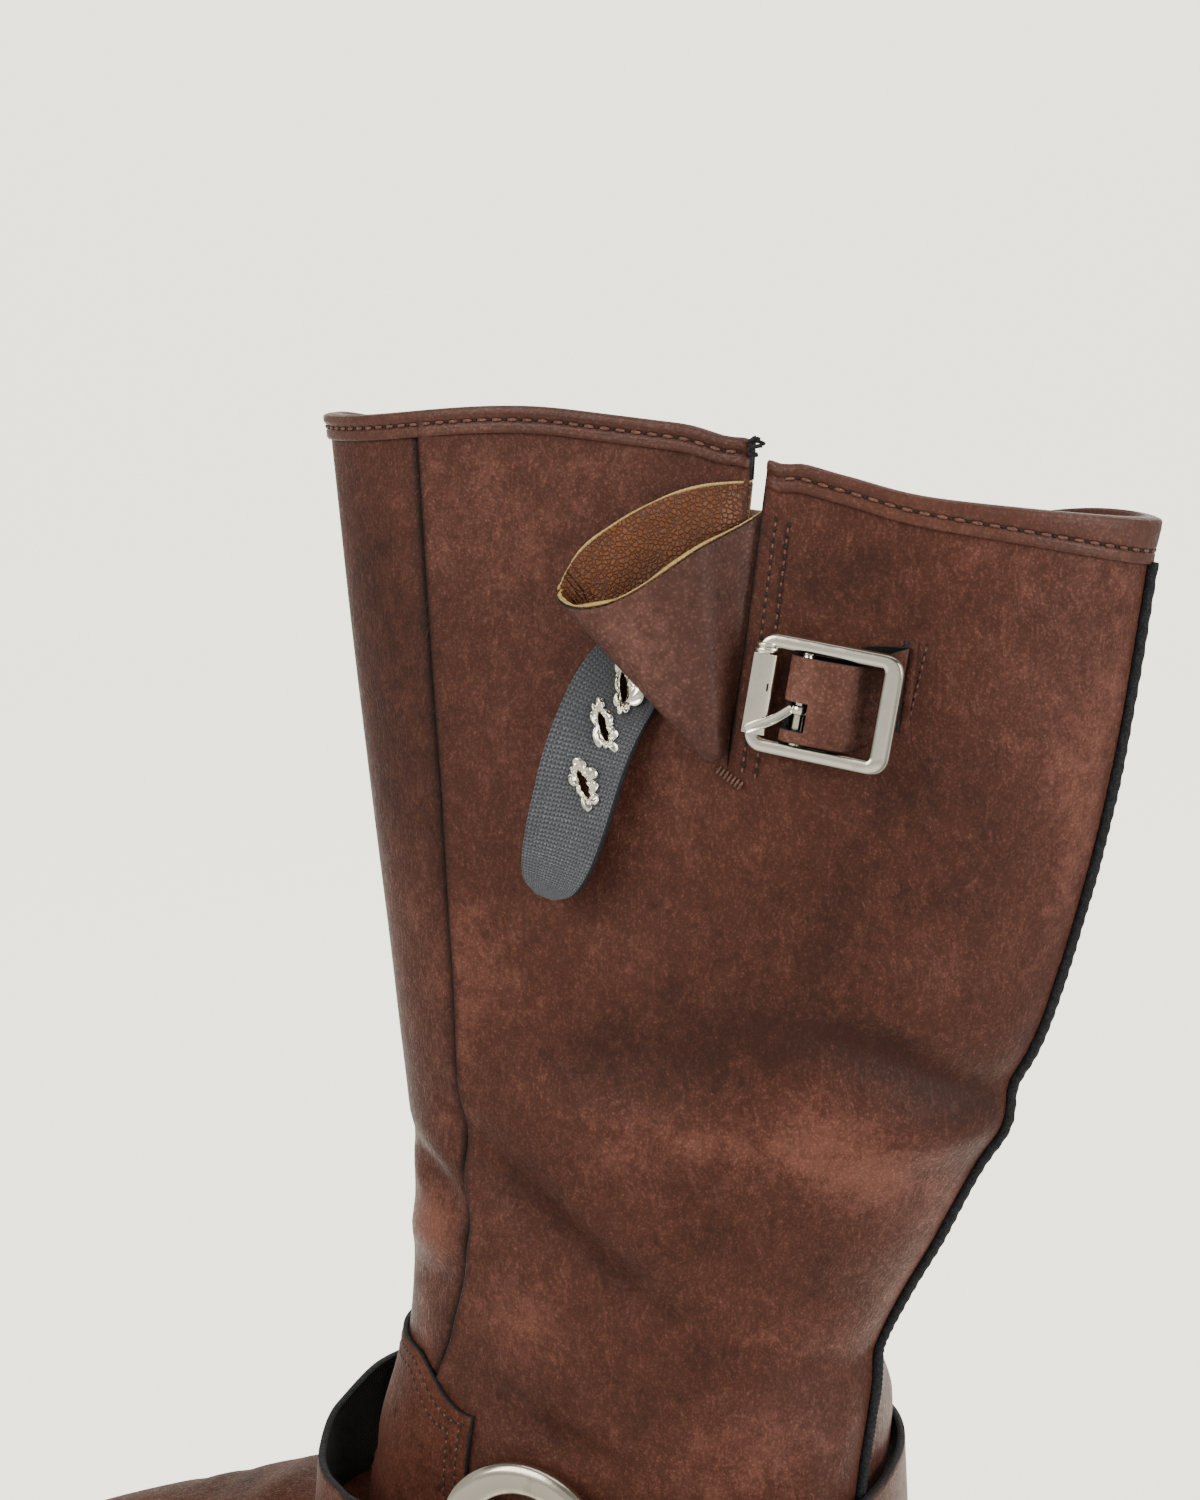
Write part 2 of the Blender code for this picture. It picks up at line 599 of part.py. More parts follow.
def build_top_strap(part, cutters, finishes):
    """Unfastened strap with its eyelets."""
    def place(a, b):
        middle, across, width = hanging(a)
        return middle + across * ((b - 0.5) * width)[:, None]

    strap = sheet("top_strap", 18, 2, place, STRAP_THICK, finishes["knit"], part)
    for number, share in enumerate(EYELETS_AT, 1):
        shares = np.array([share - 0.02, share, share + 0.02])
        middle, across, _ = hanging(shares)
        along = unit(middle[2] - middle[0])
        out = unit(np.cross(across[1], along))
        out = out * np.sign(-out[1])
        short = across[1] * math.cos(EYELET_TURN) + along * math.sin(EYELET_TURN)
        middle = middle + across[1] * EYELET_ASIDE
        turned = Matrix((short, np.cross(out, short), out)).transposed()
        bpy.ops.mesh.primitive_torus_add(major_segments=10, minor_segments=5,
                                         major_radius=EYELET_LONG * MM, minor_radius=EYELET_WIRE * MM)
        ring = bpy.context.object
        ring.name = ring.data.name = f"eyelet_{number}"
        bpy.context.collection.objects.unlink(ring)
        part.objects.link(ring)
        ring.data.materials.append(finishes["nickel"])
        ring.matrix_world = Matrix.Translation(
            Vector(metres(middle[1] + out * (STRAP_THICK / 2 + EYELET_WIRE * 0.7 + GAP)))
        ) @ turned.to_4x4() @ Matrix.Diagonal((EYELET_SHORT / EYELET_LONG, 1.0, 0.7, 1.0))
        bm = bmesh.new()
        bmesh.ops.create_cone(bm, cap_ends=True, segments=10, radius1=0.0022, radius2=0.0022, depth=0.008)
        hole = add_object(f"eyelet_hole_{number}", mesh_of(bm, f"eyelet_hole_{number}"), None, part)
        hole.matrix_world = Matrix.Translation(Vector(metres(middle[1]))) @ turned.to_4x4() @ Matrix.Diagonal(
            (EYELET_SHORT / EYELET_LONG, 1.0, 1.0, 1.0))
        boolean(strap, hole, "DIFFERENCE", cutters)


# Buckle
def buckle_frame():
    """Origin on the shaft and axes of the buckle: towards the back, upwards, outwards."""
    u, v = locate(*BUCKLE_AT)
    out = normal(u, v)
    level = unit(last(u - 0.01, v) - last(u + 0.01, v))
    back = level * math.cos(BUCKLE_TURN) + np.cross(out, level) * math.sin(BUCKLE_TURN)
    return last(u, v), back, np.cross(out, back), out


def on_buckle(x, y, lift):
    """Points in the buckle's own axes."""
    origin, back, up, out = buckle_frame()
    x, y, lift = np.broadcast_arrays(np.asarray(x, float), np.asarray(y, float), np.asarray(lift, float))
    return origin + x[..., None] * back + y[..., None] * up + lift[..., None] * out


def bar_lift(x):
    """Height of the buckle's plane over the shaft."""
    reach = BUCKLE_LONG / 2 - BUCKLE_BAR
    return LEFT_LIFT + (RIGHT_LIFT - LEFT_LIFT) * (np.asarray(x, float) + reach) / (2 * reach)


def build_buckle(part, cutters, finishes):
    """Frame with its centre bar, prong on the bar, and the tab folded round the bar."""
    wide = BUCKLE_LONG / 2 - BUCKLE_BAR
    tall = BUCKLE_TALL / 2 - BUCKLE_BAR
    path = []
    for quarter, (sx, sy) in enumerate(((1, 1), (-1, 1), (-1, -1), (1, -1))):
        for step in range(4):
            angle = math.pi / 2 * (quarter + step / 3)
            path.append((sx * (wide - BUCKLE_CORNER) + BUCKLE_CORNER * math.cos(angle),
                         sy * (tall - BUCKLE_CORNER) + BUCKLE_CORNER * math.sin(angle)))
    path = np.array(path)
    corners = on_buckle(path[:, 0], path[:, 1], bar_lift(path[:, 0]))
    frame = tube("buckle_frame", metres(corners), BUCKLE_BAR, finishes["nickel"], part, closed=True)
    ends = np.array((-tall, tall))
    bar = tube("centre_bar", metres(on_buckle(CENTRE_AT, ends, bar_lift(CENTRE_AT))), CENTRE_BAR,
               finishes["nickel"], part)
    boolean(frame, bar, "UNION", cutters)

    height = float(bar_lift(CENTRE_AT))
    bend = CENTRE_BAR + 0.75 + TAB_THICK / 2
    turn = np.linspace(1.5 * math.pi, 0.5 * math.pi, 9)
    fold = np.column_stack([CENTRE_AT + bend * np.cos(turn), height + bend * np.sin(turn)])
    end_low, end_high = TAB_THICK / 2 + 0.1, TAB_THICK * 1.5 + 0.6
    # Along the tab: place along the buckle, lift and shift towards the collar
    inner = np.array(((TAB_END, end_low, TAB_SHEAR), (TAB_END * 0.5, TAB_THICK / 2 + 0.5, TAB_SHEAR * 0.8),
                      (1.0, TAB_THICK / 2 + 0.8, TAB_SHEAR * 0.25)))
    fold = np.column_stack([fold, np.zeros(len(fold))])
    top = height + bend
    outer = np.array(((0.0, top + 0.1, 0), (3.0, top - 0.2, 0), (5.6, top - 1.1, 0), (7.3, height - 0.4, 0),
                      (8.6, end_high + 0.35, 0.6), (12.0, end_high + 0.1, TAB_SHEAR * 0.7), (TAB_END, end_high, TAB_SHEAR)))
    line = np.concatenate([inner, fold, outer])

    def place(a, b):
        spot = line[np.round(a * (len(line) - 1)).astype(int)]
        return on_buckle(spot[:, 0], (b - 0.5) * TAB_TALL + spot[:, 2], spot[:, 1])

    tab = sheet("buckle_tab", len(line) - 1, 2, place, TAB_THICK, finishes["leather"], part)
    bpy.ops.mesh.primitive_cube_add(size=MM)
    slot = bpy.context.object
    slot.name = "prong_slot"
    origin, back, up, out = buckle_frame()
    axes = Matrix((back, up, out)).transposed().to_4x4()
    slot_from, slot_to = CENTRE_AT - bend - TAB_THICK, CENTRE_AT + 1.2
    slot_low = height - 1.0
    slot_high = height + bend + TAB_THICK * 1.5
    centre = on_buckle((slot_from + slot_to) / 2, PRONG_SLOT_AT, (slot_low + slot_high) / 2)
    slot.matrix_world = Matrix.Translation(Vector(metres(centre))) @ axes @ Matrix.Diagonal(
        (slot_to - slot_from, PRONG_SLOT, slot_high - slot_low, 1.0))
    boolean(tab, slot, "DIFFERENCE", cutters)

    pivot = on_buckle(CENTRE_AT, PRONG_AT, height)
    hub = bpy.data.objects.new("prong_hinge", None)
    part.objects.link(hub)
    hub.matrix_world = Matrix.Translation(Vector(metres(pivot))) @ axes
    rest_x = -wide - BUCKLE_BAR * 0.6
    rest_lift = float(bar_lift(-wide)) + BUCKLE_BAR + PRONG_RADIUS + GAP
    far = rest_x - CENTRE_AT
    start = -(CENTRE_BAR + 0.3)
    shank = np.array((
        (start, 0.0, 0.25),
        (far * 0.5, far * 0.5 * math.tan(PRONG_SKEW), (rest_lift - height) * 0.65),
        (far, far * math.tan(PRONG_SKEW), rest_lift - height),
    ))
    prong = tube("buckle_prong", shank * MM, PRONG_RADIUS, finishes["nickel"], part)
    eye_out = bmesh.new()
    bmesh.ops.create_cone(eye_out, cap_ends=True, segments=16, radius1=(CENTRE_BAR + 0.62) * MM,
                          radius2=(CENTRE_BAR + 0.62) * MM, depth=1.9 * MM,
                          matrix=Matrix.Rotation(math.pi / 2, 4, "X"))
    eye = add_object("prong_eye", mesh_of(eye_out, "prong_eye"), None, part)
    bore_mesh = bmesh.new()
    bmesh.ops.create_cone(bore_mesh, cap_ends=True, segments=16, radius1=(CENTRE_BAR + 0.2) * MM,
                          radius2=(CENTRE_BAR + 0.2) * MM, depth=4.0 * MM,
                          matrix=Matrix.Rotation(math.pi / 2, 4, "X"))
    bore = add_object("prong_bore", mesh_of(bore_mesh, "prong_bore"), None, part)
    boolean(prong, eye, "UNION", cutters)
    boolean(prong, bore, "DIFFERENCE", cutters)
    for piece in (prong, eye, bore):
        piece.parent = hub


# Harness
def ring_frame(inner):
    """Centre of a harness ring, the way out from the boot, and its forward and upward directions."""
    u, v = locate(*RING_AT, inner=inner)
    out = normal(u, v)
    centre = lifted(u, v, 3 * GAP + OVERLAY + STRAP_THICK + RING_HALF_THICK)
    up = unit(np.array((0.0, 0.0, 1.0)) - out * out[2])
    forward = unit(np.cross(up, out)) * (1 if inner else -1)
    forward = forward * np.sign(-forward[0])
    return centre, out, forward, up


def ring_loop(inner, way, tip):
    """Rows of a strap's end: under the ring's band, round it and back over itself."""
    centre, out, forward, up = ring_frame(inner)
    way = unit(way[0] * forward + way[1] * up)
    across = np.cross(way, out)
    across = across * np.sign(across @ (up if abs(way @ up) < 0.7 else np.array((1.0, 0.0, 0.0))))
    off = RING_HALF_THICK + GAP + STRAP_THICK / 2
    hole = RING_MAJOR - RING_BAND - 1.6
    rim = RING_MAJOR + RING_BAND
    # Distance from the ring's middle and height over its plane
    line = [(rim + tip, -off + STRAP_THICK + TIP_CLEAR), (rim + tip * 0.5, off * 0.5), (rim + 0.4, off), (hole, off)]
    line += [(hole - off * math.cos(turn), off * math.sin(turn)) for turn in (math.pi / 4, 0.0, -math.pi / 4)]
    line += [(hole, -off), (rim + 2.5, -off)]
    return [(*(centre + way * r + out * lift), *across, HARNESS_END) for r, lift in line]


def strip(name, rows, finish, part):
    """Strip through a table of its sections."""
    table = np.array(rows, float)
    finer = np.linspace(0, len(table) - 1, 2 * len(table) - 1)

    def place(a, b):
        row = monotone(table, np.interp(a * (len(finer) - 1), np.arange(len(finer)), finer))
        return row[:, :3] + unit(row[:, 3:6]) * ((b - 0.5) * row[:, 6])[:, None]

    return sheet(name, len(finer) - 1, 1, place, STRAP_THICK, finish, part)


def build_harness(part, finishes):
    """Two rings, the front and back straps between them, and a strap from each ring to the sole."""
    for inner, side in ((False, "outer"), (True, "inner")):
        centre, out, forward, up = ring_frame(inner)
        bpy.ops.mesh.primitive_torus_add(major_segments=20, minor_segments=6,
                                         major_radius=RING_MAJOR * MM, minor_radius=RING_BAND * MM)
        ring = bpy.context.object
        ring.name = ring.data.name = f"ring_{side}"
        bpy.context.collection.objects.unlink(ring)
        part.objects.link(ring)
        ring.data.materials.append(finishes["nickel"])
        axes = Matrix((np.cross(up, out), up, out)).transposed().to_4x4()
        ring.matrix_world = Matrix.Translation(Vector(metres(centre))) @ axes @ Matrix.Diagonal(
            (1.0, 1.0, RING_HALF_THICK / RING_BAND, 1.0))
        down_from = ring_loop(inner, (0.0, -1.0), 6.0)
        last_row = down_from[-1]
        foot_x = last_row[0]
        down_rows = []
        for z in (74.0, 62.0, 49.5):
            u, v = locate(np.array([foot_x]), np.array([z]), inner)
            spot = lifted(u, v, np.array([STRAP_THICK / 2 + 2 * GAP + OVERLAY]))[0]
            down_rows.append((*spot, *last_row[3:6], HARNESS_END + 2))
        strip(f"down_strap_{side}", down_from + down_rows, finishes["leather"], part)
    front = ring_loop(False, (1.0, -0.10), 9.0) + list(FRONT_STRAP) + ring_loop(True, (1.0, -0.05), 9.0)[::-1]
    strip("front_strap", front, finishes["leather"], part)
    back = ring_loop(False, (-1.0, 0.08), 9.0) + list(BACK_STRAP) + ring_loop(True, (-1.0, 0.08), 9.0)[::-1]
    strip("back_strap", back, finishes["leather"], part)


def main():
    """Builds every piece of the boot."""
    part, cutters = clear_scene()
    finishes = {
        "leather": material("brown_leather", (0.105, 0.043, 0.031), 0.5),
        "knit": material("grey_knit_back", (0.10, 0.115, 0.125), 0.9),
        "nickel": material("nickel", (0.70, 0.66, 0.58), 0.25, 1.0),
        "black": material("black_piping", (0.012, 0.012, 0.013), 0.7),
        "rubber": material("black_rubber", (0.018, 0.017, 0.016), 0.75),
        "edge": material("dark_sole_edge", (0.035, 0.020, 0.015), 0.6),
        "insole": material("tan_insole", (0.24, 0.10, 0.03), 0.8),
    }
    build_sole(part, finishes)
    build_upper(part, finishes)
    build_vamp(part, finishes)
    build_binding(part, finishes)
    build_piping(part, finishes)
    build_gusset(part, finishes)
    build_top_strap(part, cutters, finishes)
    build_buckle(part, cutters, finishes)
    build_harness(part, finishes)


main()
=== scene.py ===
"""Buckle boot, dressed: leather, linings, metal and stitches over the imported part.

The boot stands on the floor (z = 0), toe towards -X, outer side towards -Y. Sizes are in millimetres in
the last's own frame, and points become metres from the part's origin where a mesh is made.
"""

import logging
import math
from collections.abc import Callable, Sequence
from dataclasses import dataclass
from enum import Enum

import bmesh
import bpy
import numpy as np
from mathutils import Matrix, Vector


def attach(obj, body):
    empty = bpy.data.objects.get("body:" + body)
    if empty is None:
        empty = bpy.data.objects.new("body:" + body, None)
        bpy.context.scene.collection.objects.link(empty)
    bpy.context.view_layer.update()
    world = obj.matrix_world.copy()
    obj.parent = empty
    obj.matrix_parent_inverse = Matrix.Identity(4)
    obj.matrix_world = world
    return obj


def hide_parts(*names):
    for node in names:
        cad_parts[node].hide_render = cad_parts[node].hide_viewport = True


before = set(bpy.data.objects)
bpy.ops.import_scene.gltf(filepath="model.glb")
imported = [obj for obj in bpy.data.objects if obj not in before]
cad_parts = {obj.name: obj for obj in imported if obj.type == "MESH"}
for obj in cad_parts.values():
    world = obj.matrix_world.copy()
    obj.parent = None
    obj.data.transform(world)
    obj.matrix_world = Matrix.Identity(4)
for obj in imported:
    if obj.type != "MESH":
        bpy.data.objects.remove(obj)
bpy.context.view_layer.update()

LOG = logging.getLogger("buckle_boot")
BODY = "boot"
PRONG_BODY = "prong"
MM = 0.001
# Where the part's origin lies in the last's frame: on the floor, in the middle of the heel
ORIGIN = np.array((65.0, 0.0, 0.0))
Points = np.ndarray
Place = Callable[[Points, Points], Points]
Marks = Callable[[Points, Points], dict[str, Points]]
Spot = tuple[float, float]
# Straight steps that stand for a curve between two of its points
PATH_STEPS = 24
# Distance in millimetres over which the wear of one side fades across the middle of the boot
SIDE_FADE = 24.0
# Ways upwards and to the inner side
UP = np.array((0.0, 0.0, 1.0))
INWARDS = np.array((0.0, 1.0, 0.0))
# A little more than one turn, so that the last column is not taken for the first
WHOLE_TURN = 1.0001
# Distances in metres at which vertices are welded
WELD = 1e-7
WELD_WIDE = 1e-6


class Side(Enum):
    """Side of the boot. The outer one carries the buckle."""

    OUTER = -1
    INNER = 1


class Slot(Enum):
    """Material slot of the record, by name."""

    LEATHER = "leather"
    KNIT = "knit"
    NICKEL = "nickel"
    PIPING = "piping"
    RUBBER = "rubber"
    EDGE = "edge"
    INSOLE = "insole"


def smooth(value: Points) -> Points:
    """Cubic step from 0 to 1."""
    value = np.clip(value, 0.0, 1.0)
    return value * value * (3.0 - 2.0 * value)


def unit(vector: Points) -> Points:
    """Vectors of length 1."""
    vector = np.asarray(vector, float)
    return vector / np.linalg.norm(vector, axis=-1, keepdims=True)


def metres(points: Points) -> Points:
    """Points of the last's frame in metres from the part's origin."""
    return (np.asarray(points, float) - ORIGIN) * MM


def in_last(point: Sequence[float]) -> Points:
    """A mesh's point in the last's frame, in millimetres."""
    return np.array(point) / MM + ORIGIN


def on_side(points: Points, side: Side) -> Points:
    """Share of a side's wear that shows at points of the last."""
    return smooth(0.5 + side.value * points[..., 1] / SIDE_FADE)


def run_of(line: Points) -> Points:
    """Distance of each point along a line."""
    return np.concatenate([[0.0], np.cumsum(np.linalg.norm(np.diff(line, axis=0), axis=1))])


def between(table: Points, place: Points, run: Points | None = None) -> Points:
    """Reads a table straight between its rows.

    Args:
        table: Rows of values.
        place: Places along the run.
        run: Place of each row, or None where the places are shares of the whole.

    Returns:
        The row of values at each place.
    """
    if run is None:
        run = np.linspace(0.0, 1.0, len(table))
    return np.stack([np.interp(place, run, column) for column in table.T], -1)


def monotone(table: Points, place: Points) -> Points:
    """Reads a table along a monotone cubic through its rows.

    Args:
        table: Rows of values.
        place: Places counted in rows.

    Returns:
        The row of values at each place.
    """
    place = np.clip(np.asarray(place, float), 0.0, len(table) - 1.0)
    row = np.minimum(place.astype(int), len(table) - 2)
    part = (place - row)[..., None]
    step = np.diff(table, axis=0)
    slope = np.zeros_like(table)
    before, after = step[:-1], step[1:]
    same_way = before * after > 0
    slope[1:-1] = np.where(same_way, 2 * before * after / np.where(same_way, before + after, 1.0), 0.0)
    slope[0], slope[-1] = step[0], step[-1]
    h0 = 2 * part**3 - 3 * part**2 + 1
    h1 = part**3 - 2 * part**2 + part
    h2 = 3 * part**2 - 2 * part**3
    h3 = part**3 - part**2
    return h0 * table[row] + h1 * slope[row] + h2 * table[row + 1] + h3 * slope[row + 1]


def even_path(points: Sequence[Sequence[float]], count: int) -> Points:
    """Places evenly along a smooth line through a few points.

    Args:
        points: Points of the line, in two or three numbers each.
        count: How many places to return.

    Returns:
        The places, from the first point to the last.
    """
    table = np.array(points, float)
    fine = monotone(table, np.linspace(0, len(table) - 1, PATH_STEPS * len(table)))
    run = run_of(fine)
    return between(fine, np.linspace(0, run[-1], count), run)


@dataclass(frozen=True)
class Crease:
    """Soft trough in the leather, or a ridge where its depth is negative.

    Attributes:
        start: One end in the side view, x and z.
        end: Other end.
        depth: Depth at its middle.
        width: Distance from its line at which it is about a third as deep.
        bow: How far its middle lies off the straight line, to the right of its run.
        side: Side of the boot.
        end_share: Share of the depth that is left at its ends.
    """

    start: Spot
    end: Spot
    depth: float
    width: float
    bow: float = 0.0
    side: Side = Side.OUTER
    end_share: float = 0.45

    def relief(self, points: Points) -> Points:
        """Depth of the trough at points of the last."""
        line = np.subtract(self.end, self.start)
        span = math.hypot(*line)
        dx, dz = points[..., 0] - self.start[0], points[..., 2] - self.start[1]
        along = np.clip((dx * line[0] + dz * line[1]) / span**2, 0, 1)
        bow = self.bow * np.sin(np.pi * along) / span
        off_x = dx - along * line[0] - bow * line[1]
        off_z = dz - along * line[1] + bow * line[0]
        fall = np.exp(-(off_x**2 + off_z**2) / self.width**2)
        swell = self.end_share + (1 - self.end_share) * np.sin(np.pi * along)
        return self.depth * fall * swell * on_side(points, self.side)


@dataclass(frozen=True)
class Patch:
    """Soft area that paints light onto the wax, or shade where its strength is negative; some patches stand
    for wax rubbed light instead.

    Attributes:
        at: Middle in the side view, x and z.
        size: Half lengths along its own axes.
        strength: Change of tone at its middle.
        lean: Turn of its first axis from level, in degrees.
        side: Side of the boot.
    """

    at: Spot
    size: Spot
    strength: float
    lean: float = 0.0
    side: Side = Side.OUTER

    def tone(self, points: Points) -> Points:
        """Change of tone at points of the last."""
        dx, dz = points[..., 0] - self.at[0], points[..., 2] - self.at[1]
        turn = math.radians(self.lean)
        one = (dx * math.cos(turn) + dz * math.sin(turn)) / self.size[0]
        two = (dz * math.cos(turn) - dx * math.sin(turn)) / self.size[1]
        return self.strength * np.exp(-(one**2 + two**2)) * on_side(points, self.side)


# A row for each section from the sole to the collar, as in the part's source
SECTION_COLUMNS = (
    "back_x", "back_z", "front_x", "front_z", "lateral", "medial", "ball_lateral", "ball_medial",
    "back_taper", "back_power", "front_taper", "front_power", "toe_turn", "rise_lateral", "rise_medial",
    "medial_square", "heel_turn",
)
SECTIONS = np.array((
    (96.0, 46.4, -165.0, 21.4, 31, 30, 46, 41, 0.13, 0.50, 0.66, 0.45, 9, 0, 0, 1, 0),
    (99.0, 62.0, -169.0, 36.0, 34, 33, 48, 43, 0.14, 0.50, 0.64, 0.45, 9, 0, 0, 1, -1),
    (97.0, 79.0, -159.0, 50.0, 34, 34.5, 44, 40, 0.15, 0.49, 0.56, 0.47, 8, 0, 0, 0.85, -3),
    (94.0, 94.0, -135.0, 63.0, 34, 36.5, 40, 37, 0.16, 0.48, 0.46, 0.50, 6, 0, 0, 0.6, -8),
    (91.5, 108.0, -100.0, 76.0, 34, 38.5, 38, 36, 0.18, 0.47, 0.40, 0.50, 4, 0, 0, 0.42, -13),
    (91.5, 119.0, -66.0, 86.0, 34, 39.5, 36, 36, 0.20, 0.47, 0.42, 0.50, 2, 0, 0, 0.34, -13),
    (91.5, 129.0, -43.0, 99.0, 35, 39.5, 35, 36, 0.23, 0.48, 0.46, 0.50, 0, 0, 0, 0.36, -9),
    (92.0, 140.0, -32.0, 119.0, 36, 38, 36, 36, 0.29, 0.50, 0.50, 0.50, 0, 0, 0, 0.55, -5),
    (92.5, 153.0, -24.5, 146.0, 36, 36, 36, 36, 0.38, 0.56, 0.54, 0.50, 0, 0, 0, 1, -1),
    (106.0, 183.0, -20.5, 184.0, 37, 35, 37, 35, 0.48, 0.62, 0.60, 0.50, 0, 0, 0, 1, 0),
    (122.0, 219.0, -24.5, 228.0, 38, 36, 38, 36, 0.50, 0.62, 0.64, 0.50, 0, 0, 0, 1, 0),
    (133.0, 254.0, -30.0, 273.0, 37, 36, 37, 36, 0.48, 0.60, 0.68, 0.50, 0, 1.5, -1, 1, 0),
    (140.5, 290.0, -35.5, 317.0, 35, 35, 35, 35, 0.44, 0.57, 0.70, 0.50, 0, 5, -4.5, 1, 0),
    (147.0, 340.0, -40.5, 361.0, 33, 34, 33, 34, 0.40, 0.54, 0.70, 0.50, 0, 8.8, -12.5, 1, 0),
), float)
LAST_SECTION = len(SECTIONS) - 1


@dataclass
class Last:
    """The boot's form: its outside from the sole to the collar, with the creases of wear.

    Turns u run once round from the back by the outer side, levels v from the sole up to the collar.
    """

    heel_height: float = 33.0
    outsole: float = 9.0
    midsole: float = 4.0
    sole_gap: float = 0.6
    arch_from: float = -76.0
    heel_from: float = 26.0
    spring_from: float = -112.0
    toe_spring: float = 8.0
    toe_tip: float = -170.0
    sole_follow: float = 4.0
    follow_power: float = 1.5
    # Shares of the way from back to front at which the outline goes over to the width at the ball
    ball_from: float = 0.15
    ball_over: float = 0.47
    # Where the heel's turn fades and where the collar's rise starts, grows and ends, outer and inner side
    heel_turn_over: Spot = (0.10, 0.05)
    rise_from: Spot = (0.30, 0.02)
    rise_over: Spot = (0.19, 0.36)
    rise_end: float = 0.62
    step: float = 0.002
    halvings: int = 40
    creases: tuple[Crease, ...] = ()
    patches: tuple[Patch, ...] = ()

    def under_sole(self, x: Points) -> Points:
        """Height of the outsole's underside: flat forefoot, arch up to the heel seat and toe spring."""
        arch = self.heel_height * smooth((x - self.arch_from) / (self.heel_from - self.arch_from))
        spring = np.clip((self.spring_from - x) / (self.spring_from - self.toe_tip), 0.0, None)
        return arch + self.toe_spring * spring**2

    def feather(self, x: Points) -> Points:
        """Height at which the upper meets the sole."""
        return self.under_sole(x) + self.outsole + self.midsole + self.sole_gap

    def surface(self, u: Points, v: Points) -> Points:
        """Points of the plain last, before the creases."""
        u, v = np.broadcast_arrays(np.asarray(u, float), np.asarray(v, float))
        row = dict(zip(SECTION_COLUMNS, np.moveaxis(monotone(SECTIONS, v * LAST_SECTION), -1, 0)))
        u = u % 1.0
        outer = u < 0.5
        along = np.where(outer, 2 * u, 2 - 2 * u)
        t = (1 - np.cos(np.pi * along)) / 2
        heel = np.where(outer, row["lateral"], row["medial"])
        ball = np.where(outer, row["ball_lateral"], row["ball_medial"])
        half = heel + (ball - heel) * smooth((t - self.ball_from) / self.ball_over)
        taper = row["back_taper"] * np.where(outer, 1.0, row["medial_square"])
        back = (1 - np.clip(1 - t / taper, 0, 1) ** 2) ** row["back_power"]
        ahead = np.clip((t - row["front_taper"]) / (1 - row["front_taper"]), 0, 1)
        front = np.clip(1 - ahead**2, 0, 1) ** row["front_power"]
        x = row["back_x"] + (row["front_x"] - row["back_x"]) * t
        y = np.where(outer, -1, 1) * half * back * front + row["toe_turn"] * smooth(2 * t - 1)
        y = y + row["heel_turn"] * smooth(1 - t / np.where(outer, *self.heel_turn_over))
        rise = np.where(outer, row["rise_lateral"], row["rise_medial"])
        z = row["back_z"] + (row["front_z"] - row["back_z"]) * t
        grown = smooth((t - np.where(outer, *self.rise_from)) / np.where(outer, *self.rise_over))
        z = z + rise * grown * (1 - smooth((t - self.rise_end) / (1 - self.rise_end)))
        straight = SECTIONS[0, 1] + (SECTIONS[0, 3] - SECTIONS[0, 1]) * t
        follow = np.clip(1 - v * LAST_SECTION / self.sole_follow, 0, 1) ** self.follow_power
        return np.stack([x, y, z + (self.feather(x) - straight) * follow], -1)

    def normal(self, u: Points, v: Points) -> Points:
        """Outward unit normals of the plain last."""
        step = self.step
        u, v = np.broadcast_arrays(np.asarray(u, float), np.asarray(v, float))
        across = self.surface(u + step, v) - self.surface(u - step, v)
        up = self.surface(u, np.minimum(v + step, 1)) - self.surface(u, np.maximum(v - step, 0))
        return unit(np.cross(up, across))

    def pace(self, u: Points, v: Points) -> Points:
        """Millimetres along the skin for each whole turn."""
        step = self.step
        return np.linalg.norm(self.surface(u + step, v) - self.surface(u - step, v), axis=-1) / (2 * step)

    def skin(self, u: Points, v: Points, lift: Points | float = 0.0) -> Points:
        """Points of the creased leather, or at a height over it."""
        points = self.surface(u, v)
        height = np.broadcast_to(np.asarray(lift, float), points.shape[:-1]).copy()
        for crease in self.creases:
            height -= crease.relief(points)
        return points + self.normal(u, v) * height[..., None]

    def tone(self, points: Points) -> Points:
        """Painted light and shade, with rubbed wax, at points of the last: the sum of the patches' tones."""
        total = np.zeros(points.shape[:-1])
        for patch in self.patches:
            total += patch.tone(points)
        return total

    def turn_of(self, x: Points, v: Points, side: Side = Side.OUTER) -> Points:
        """Turn at which the level v reaches x."""
        row = monotone(SECTIONS, np.asarray(v, float) * LAST_SECTION)
        t = np.clip((x - row[..., 0]) / (row[..., 2] - row[..., 0]), 0, 1)
        u = np.arccos(1 - 2 * t) / (2 * np.pi)
        return u if side is Side.OUTER else 1 - u

    def locate(self, x: Points, z: Points, side: Side = Side.OUTER) -> tuple[Points, Points]:
        """Turn and level of a side's points at x and z."""
        x, z = np.broadcast_arrays(np.asarray(x, float), np.asarray(z, float))
        low, high = np.zeros_like(x), np.ones_like(x)
        for _ in range(self.halvings):
            middle = (low + high) / 2
            below = self.surface(self.turn_of(x, middle, side), middle)[..., 2] < z
            low, high = np.where(below, middle, low), np.where(below, high, middle)
        return self.turn_of(x, low, side), low

    def level_at(self, turn: float, height: float) -> float:
        """Level of one turn's point at a height."""
        low, high = 0.0, 1.0
        for _ in range(self.halvings):
            middle = (low + high) / 2
            low, high = (middle, high) if self.surface(turn, middle)[2] < height else (low, middle)
        return low

